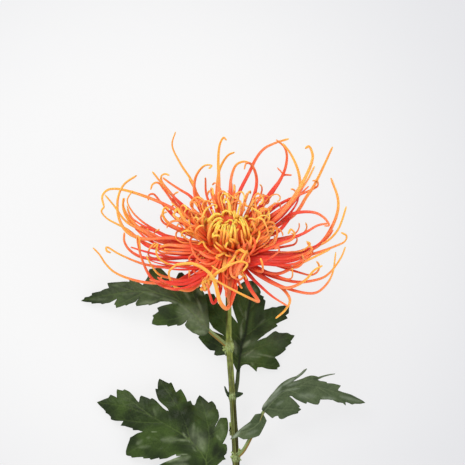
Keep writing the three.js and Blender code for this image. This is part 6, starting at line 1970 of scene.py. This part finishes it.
def triangles_in(outline, vein_points, strengths, step):
    """Points on the outline, along the veins and on a grid between them, and the triangles that join them."""
    low, high = outline.min(axis=0), outline.max(axis=0)
    grid = []
    for row, y in enumerate(np.arange(low[1], high[1], step * 0.866)):
        for x in np.arange(low[0] + (row % 2) * step / 2, high[0], step):
            grid.append((x, y))
    grid = np.array(grid)
    grid = grid[inside(grid, outline)]
    grid = grid[distance_to(grid, outline)[0] > GRID_TO_EDGE * step]
    on_vein = vein_points[strengths > LEAST_VEIN]
    kept = [on_vein[0]]
    for point in on_vein[1:]:
        if np.linalg.norm(np.array(kept) - point, axis=1).min() > VEIN_SPACING * step:
            kept.append(point)
    kept = np.array(kept)
    kept = kept[inside(kept, outline)]
    kept = kept[distance_to(kept, outline)[0] > VEIN_TO_EDGE * step]
    grid = grid[distance_to(grid, kept)[0] > GRID_TO_VEIN * step]
    flat = np.vstack([outline, kept, grid])
    ring = [(i, (i + 1) % len(outline)) for i in range(len(outline))]
    made = delaunay_2d_cdt([Vector(point) for point in flat], ring, [], 0, 1e-5, False)
    flat = np.array([(vert.x, vert.y) for vert in made[0]])
    middles = np.array([flat[list(face)].mean(axis=0) for face in made[2]])
    return flat, [tuple(face) for face, within in zip(made[2], inside(middles, outline)) if within]


def painted_light_and_shade(flat, painted_streaks):
    """How pale and how shaded each point is under a leaf's streaks of painted light: painted highlights where
    the strength is above 0, painted shade where it is below.
    """
    pale, shaded = np.zeros(len(flat)), np.zeros(len(flat))
    for *ends, reach, strength in painted_streaks:
        start, end = np.array(ends).reshape(2, 2) + HEART[:2]
        share = (flat - start) @ (end - start) / np.sum((end - start) ** 2)
        beyond = np.abs(2 * share - 1)
        off = np.linalg.norm(flat - start - np.clip(share, 0, 1)[:, None] * (end - start), axis=1)
        lens = np.exp(-((off / (reach * (1.2 - 0.7 * np.minimum(1, beyond) ** 2))) ** 2 + 0.7 * beyond**4))
        layer = pale if strength > 0 else shaded
        np.maximum(layer, abs(strength) * lens, out=layer)
    return pale, shaded


def blade(shape, number):
    """A blade's upper skin as arrays: places in millimetres, triangles, and the marks at each place."""
    chosen = settings().leaves
    step = chosen.spacing / MM
    rib = np.array(shape["midrib"], float) + HEART
    midrib = spots(rib, 300)
    outline = outline_of(shape, rib, step)
    vein_points, strengths = veins_of(shape, midrib, outline)
    flat, triangles = triangles_in(outline, vein_points, strengths, step)

    away, nearest = distance_to(flat, midrib[:, :2])
    ahead = np.gradient(midrib[:, :2], axis=0)[nearest]
    offset = flat - midrib[nearest, :2]
    on_left = ahead[:, 0] * offset[:, 1] - ahead[:, 1] * offset[:, 0] > 0
    tilt = np.where(on_left, shape["left"]["tilt"], shape["right"]["tilt"])
    droop = np.where(on_left, shape["left"]["droop"], shape["right"]["droop"])
    height = midrib[nearest, 2] + tilt * away - droop * away**2
    gap, which = distance_to(flat, vein_points)
    weight = strengths[which]
    ridge = beside(gap, RIDGE_WIDTH) * weight
    height += chosen.puff / MM * (1 - beside(gap, PUFF_WIDTH)) - VEIN_DEPTH * ridge
    for tall, across, along, turn in WAVES:
        wave = np.sin(across * flat[:, 0] + along * flat[:, 1] + turn * number)
        height += tall * np.clip(away / WAVES_FROM, 0, 1) * wave
    height = np.maximum(height, LOWEST)

    # Painted highlights and painted shade from the leaf's streaks.
    pale, shaded = painted_light_and_shade(flat, shape["painted_light"])
    # Painted shade along the crease of a folded leaf's midrib, except under a painted highlight.
    folded = shape.get("fold", 0)
    crease = folded * np.exp(-((away / 0.8) ** 4)) * (1 - pale)
    vein = np.clip(beside(gap, VEIN_WIDTH) * weight**1.4, 0, 1)
    vein *= (1 - folded * (away < 1)) * (1 - 0.8 * np.minimum(1, shaded / 0.6))
    # Painted shade beside the veins; the deep mark gathers it with the crease and the streaks of painted
    # shade.
    deep = 0.55 * np.clip(beside(gap, PAINTED_SHADE_WIDTH) * weight**1.5, 0, 1)
    marks = {"vein": vein, "pale": pale, "deep": np.maximum.reduce([deep, crease, shaded])}
    return np.column_stack([flat, height]), triangles, marks


# Colours of the painted highlights on a leaf's upper side and underside, and the underside's dark patches and
# veins.
LEAF_PAINTED_HIGHLIGHT = light(136, 148, 116)
UNDER_SHADE, UNDER_VEIN, UNDER_PAINTED_HIGHLIGHT = light(66, 80, 52), light(124, 138, 100), light(150, 160, 140)
UV_SCALE = 0.01  # places in millimetres to a blade's UV map
TWISTED = "leaf_lower_right"  # this leaf shows its underside, and has the small lobe
STALK_GROOVE = 0.45  # depth of the groove along a stalk, as a share of its radius
RIB_DEPTH = 0.75  # how far the stalk runs below the midrib's places
FOLDED_DARK = 0.85  # how dark the stalk of a folded leaf is


class MUM_OT_leaves(bpy.types.Operator):
    """Makes the four leaves, each with its blade and its stalk"""

    bl_idname = "mum.leaves"
    bl_label = "Leaves"

    def execute(self, context):
        chosen = settings().leaves
        upper = leaf_material("leaf_upper_skin", tuple(chosen.upper_colour), tuple(chosen.shade_colour),
                              tuple(chosen.vein_colour), LEAF_PAINTED_HIGHLIGHT, roughness=0.45, vein_share=0.45)
        under = leaf_material("leaf_under_skin", tuple(chosen.under_colour), UNDER_SHADE, UNDER_VEIN,
                              UNDER_PAINTED_HIGHLIGHT, roughness=0.6, vein_share=0.55)
        stalk_skin = stalk_material()
        for number, (name, shape) in enumerate(LEAVES.items()):
            lobes = [shape, LOW_LOBE] if name == TWISTED else [shape]
            blades = []
            for part, lobe in enumerate(lobes):
                places, triangles, marks = blade(lobe, number + part)
                uvs = places[:, :2] * UV_SCALE
                blades.append(object_of(f"{name}_{part}", places * MM, triangles, uvs, marks))
            piece = joined(blades, name.replace("leaf", "blade"))
            solid = piece.modifiers.new("Thickness", "SOLIDIFY")
            solid.thickness = chosen.thickness
            solid.offset = 0
            solid.use_even_offset = False
            solid.material_offset = 1
            piece.data.materials.append(upper)
            piece.data.materials.append(under)
            activate(piece)
            bpy.ops.object.modifier_apply(modifier=solid.name)
            bpy.ops.object.shade_smooth()
            sides = (under, upper) if name == TWISTED else (upper, under)
            tie(piece, name, "leaf", *sides)
            self.stalk(name, shape, stalk_skin)
        return {"FINISHED"}

    def stalk(self, name, shape, skin):
        """The stalk, which runs on under the blade as its midrib."""
        girth = settings().stem.stalk_girth / MM
        pattern = Pattern(quill("stalk_pattern", 12, 60, STALK_GROOVE))
        rib = np.array(shape["midrib"][:-1], float)
        rib[:, 2] -= RIB_DEPTH
        route = np.vstack([np.array(shape["stalk"], float), rib]) + HEART
        rusty_side = smooth(shape["rust"] * pattern.places[:, 0], 0, 0.6)
        growth = Growth()
        growth.lay(pattern, route, lambda u: girth * (1.1 - 0.8 * u), UP, bend_weight=0,
                   rust=lambda u, v: rusty_side * (1 - smooth(u, 0.2, 0.5)),
                   dark=lambda u, v: FOLDED_DARK if "fold" in shape else 0, tone=lambda u, v: 0.6)
        finish_piece(growth.mesh(name.replace("leaf", "stalk")), name, "leaf", skin)


# ---------- stage ----------

FLOOR_DROP = 0.0001  # the floor lies this far under the flower
# The floor's glow is painted light: a pool brightest near the flower that fades away from it and lifts the
# flower's shadow.
BRIGHT_FLOOR = (-0.05, 0.065, 0)  # where the floor is brightest
BRIGHT_REACH, DIM_REACH = 0.07, 0.26  # distances from there at which it starts and stops fading
BRIGHT_GLOW, DIM_GLOW = (0.995, 0.995, 0.99, 1.0), (0.78, 0.785, 0.81, 1.0)
FLOOR_MOTTLE = 0.985  # how light a patch of the floor is, as a share of the rest
ROOM_COLOUR = (0.985, 0.99, 1.0, 1.0)
# Each lamp's name, place, size and share of the key light's power.
LAMPS = (("key_light", (-0.75, 1.0, 1.5), 1.1, 1.0), ("fill_light", (1.1, -0.2, 1.3), 1.4, 0.22))
LAMP_COLOUR = (1.0, 0.985, 0.96)
AIM = (0.0025, 0.0052, 0)  # from the heart to the place that the camera looks at
SENSOR, VIEW_END = 36, 50  # the camera's sensor in millimetres, and how many metres it sees


class MUM_OT_stage(bpy.types.Operator):
    """Lays the floor, lights it softly and sets up the camera"""

    bl_idname = "mum.stage"
    bl_label = "Stage"

    def execute(self, context):
        chosen = settings().stage
        deselect_all()
        bpy.ops.mesh.primitive_plane_add(size=chosen.floor_size, location=(0, 0, -FLOOR_DROP))
        floor = bpy.context.active_object
        floor.name = "floor"
        bpy.ops.object.transform_apply(location=True, rotation=True, scale=True)
        skin, tree, shader = new_material("floor_skin", roughness=0.9, specular=0.1)
        patches, _ = mottle(tree, 3.0, 900.0)
        pale = tuple(chosen.floor_colour)
        dim = tuple(FLOOR_MOTTLE * channel for channel in pale[:3]) + (1.0,)
        tree.links.new(mixed(tree, patches, dim, pale), shader.inputs["Base Color"])
        # Painted light: the floor glows, brightest near the flower.
        place = node(tree, "ShaderNodeTexCoord").outputs["Object"]
        off = node(tree, "ShaderNodeVectorMath", {0: place, 1: BRIGHT_FLOOR}, operation="DISTANCE")
        faded = ranged(tree, off.outputs["Value"], BRIGHT_REACH, DIM_REACH)
        tree.links.new(mixed(tree, faded, BRIGHT_GLOW, DIM_GLOW), shader.inputs["Emission Color"])
        shader.inputs["Emission Strength"].default_value = chosen.floor_glow
        floor.data.materials.append(skin)

        world = bpy.data.worlds.new("Room")
        world.use_nodes = True
        room = world.node_tree.nodes["Background"]
        room.inputs["Color"].default_value = ROOM_COLOUR
        room.inputs["Strength"].default_value = chosen.sky_strength
        context.scene.world = world

        heart = Vector(HEART * MM)
        for name, place, size, share in LAMPS:
            self.lamp(name, place, size, chosen.key_power * share, heart)

        deselect_all()
        above = heart + Vector(AIM) + Vector((0, 0, chosen.reach))
        bpy.ops.object.camera_add(location=above, rotation=(0, 0, 0))
        camera = bpy.context.active_object
        camera.name = "camera"
        camera.data.lens = chosen.lens
        camera.data.sensor_width = SENSOR
        camera.data.clip_end = VIEW_END
        context.scene.camera = camera
        context.scene.view_settings.view_transform = "Standard"
        context.scene.view_settings.look = "None"
        return {"FINISHED"}

    def lamp(self, name, place, size, power, target):
        """A large soft lamp that looks at the target."""
        deselect_all()
        bpy.ops.object.light_add(type="AREA", location=Vector(place))
        lamp = bpy.context.active_object
        lamp.name = name
        lamp.data.shape = "DISK"
        lamp.data.size = size
        lamp.data.energy = power
        lamp.data.color = LAMP_COLOUR
        lamp.rotation_euler = (target - lamp.location).to_track_quat("-Z", "Y").to_euler()


# ---------- panel ----------


class MUM_PT_panel(bpy.types.Panel):
    """Lists the flower's pieces and their settings"""

    bl_idname = "MUM_PT_panel"
    bl_label = "Spider mum"
    bl_space_type = "VIEW_3D"
    bl_region_type = "UI"
    bl_category = "Spider mum"

    def draw(self, context):
        chosen = context.scene.spider_mum
        for title, group, operators in SECTIONS:
            box = self.layout.box()
            box.label(text=title)
            part = getattr(chosen, group)
            for key in part.__annotations__:
                box.prop(part, key)
            for operator in operators:
                box.operator(operator)


# Each box of the panel: its title, its settings and its operators.
SECTIONS = [
    ("Petals", "petals",
     ["mum.receptacle", "mum.long_petals", "mum.short_petals", "mum.curls", "mum.florets"]),
    ("Stem", "stem", ["mum.calyx", "mum.stem"]),
    ("Leaves", "leaves", ["mum.leaves"]),
    ("Stage", "stage", ["mum.stage"]),
]
CLASSES = [
    PetalSettings, StemSettings, LeafSettings, StageSettings, MumSettings,
    MUM_OT_receptacle, MUM_OT_long_petals, MUM_OT_short_petals, MUM_OT_curls, MUM_OT_florets,
    MUM_OT_calyx, MUM_OT_stem, MUM_OT_leaves, MUM_OT_stage, MUM_PT_panel,
]


def register():
    """Registers every class and the settings."""
    for cls in CLASSES:
        bpy.utils.register_class(cls)
    bpy.types.Scene.spider_mum = bpy.props.PointerProperty(type=MumSettings)


def unregister():
    """Takes them away again."""
    del bpy.types.Scene.spider_mum
    for cls in reversed(CLASSES):
        bpy.utils.unregister_class(cls)


def main():
    """Makes every piece and the stage."""
    register()
    bpy.ops.mum.stage()
    bpy.ops.mum.receptacle()
    bpy.ops.mum.long_petals()
    bpy.ops.mum.short_petals()
    bpy.ops.mum.curls()
    bpy.ops.mum.florets()
    bpy.ops.mum.calyx()
    bpy.ops.mum.stem()
    bpy.ops.mum.leaves()
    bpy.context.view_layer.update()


if __name__ == "__main__":
    main()
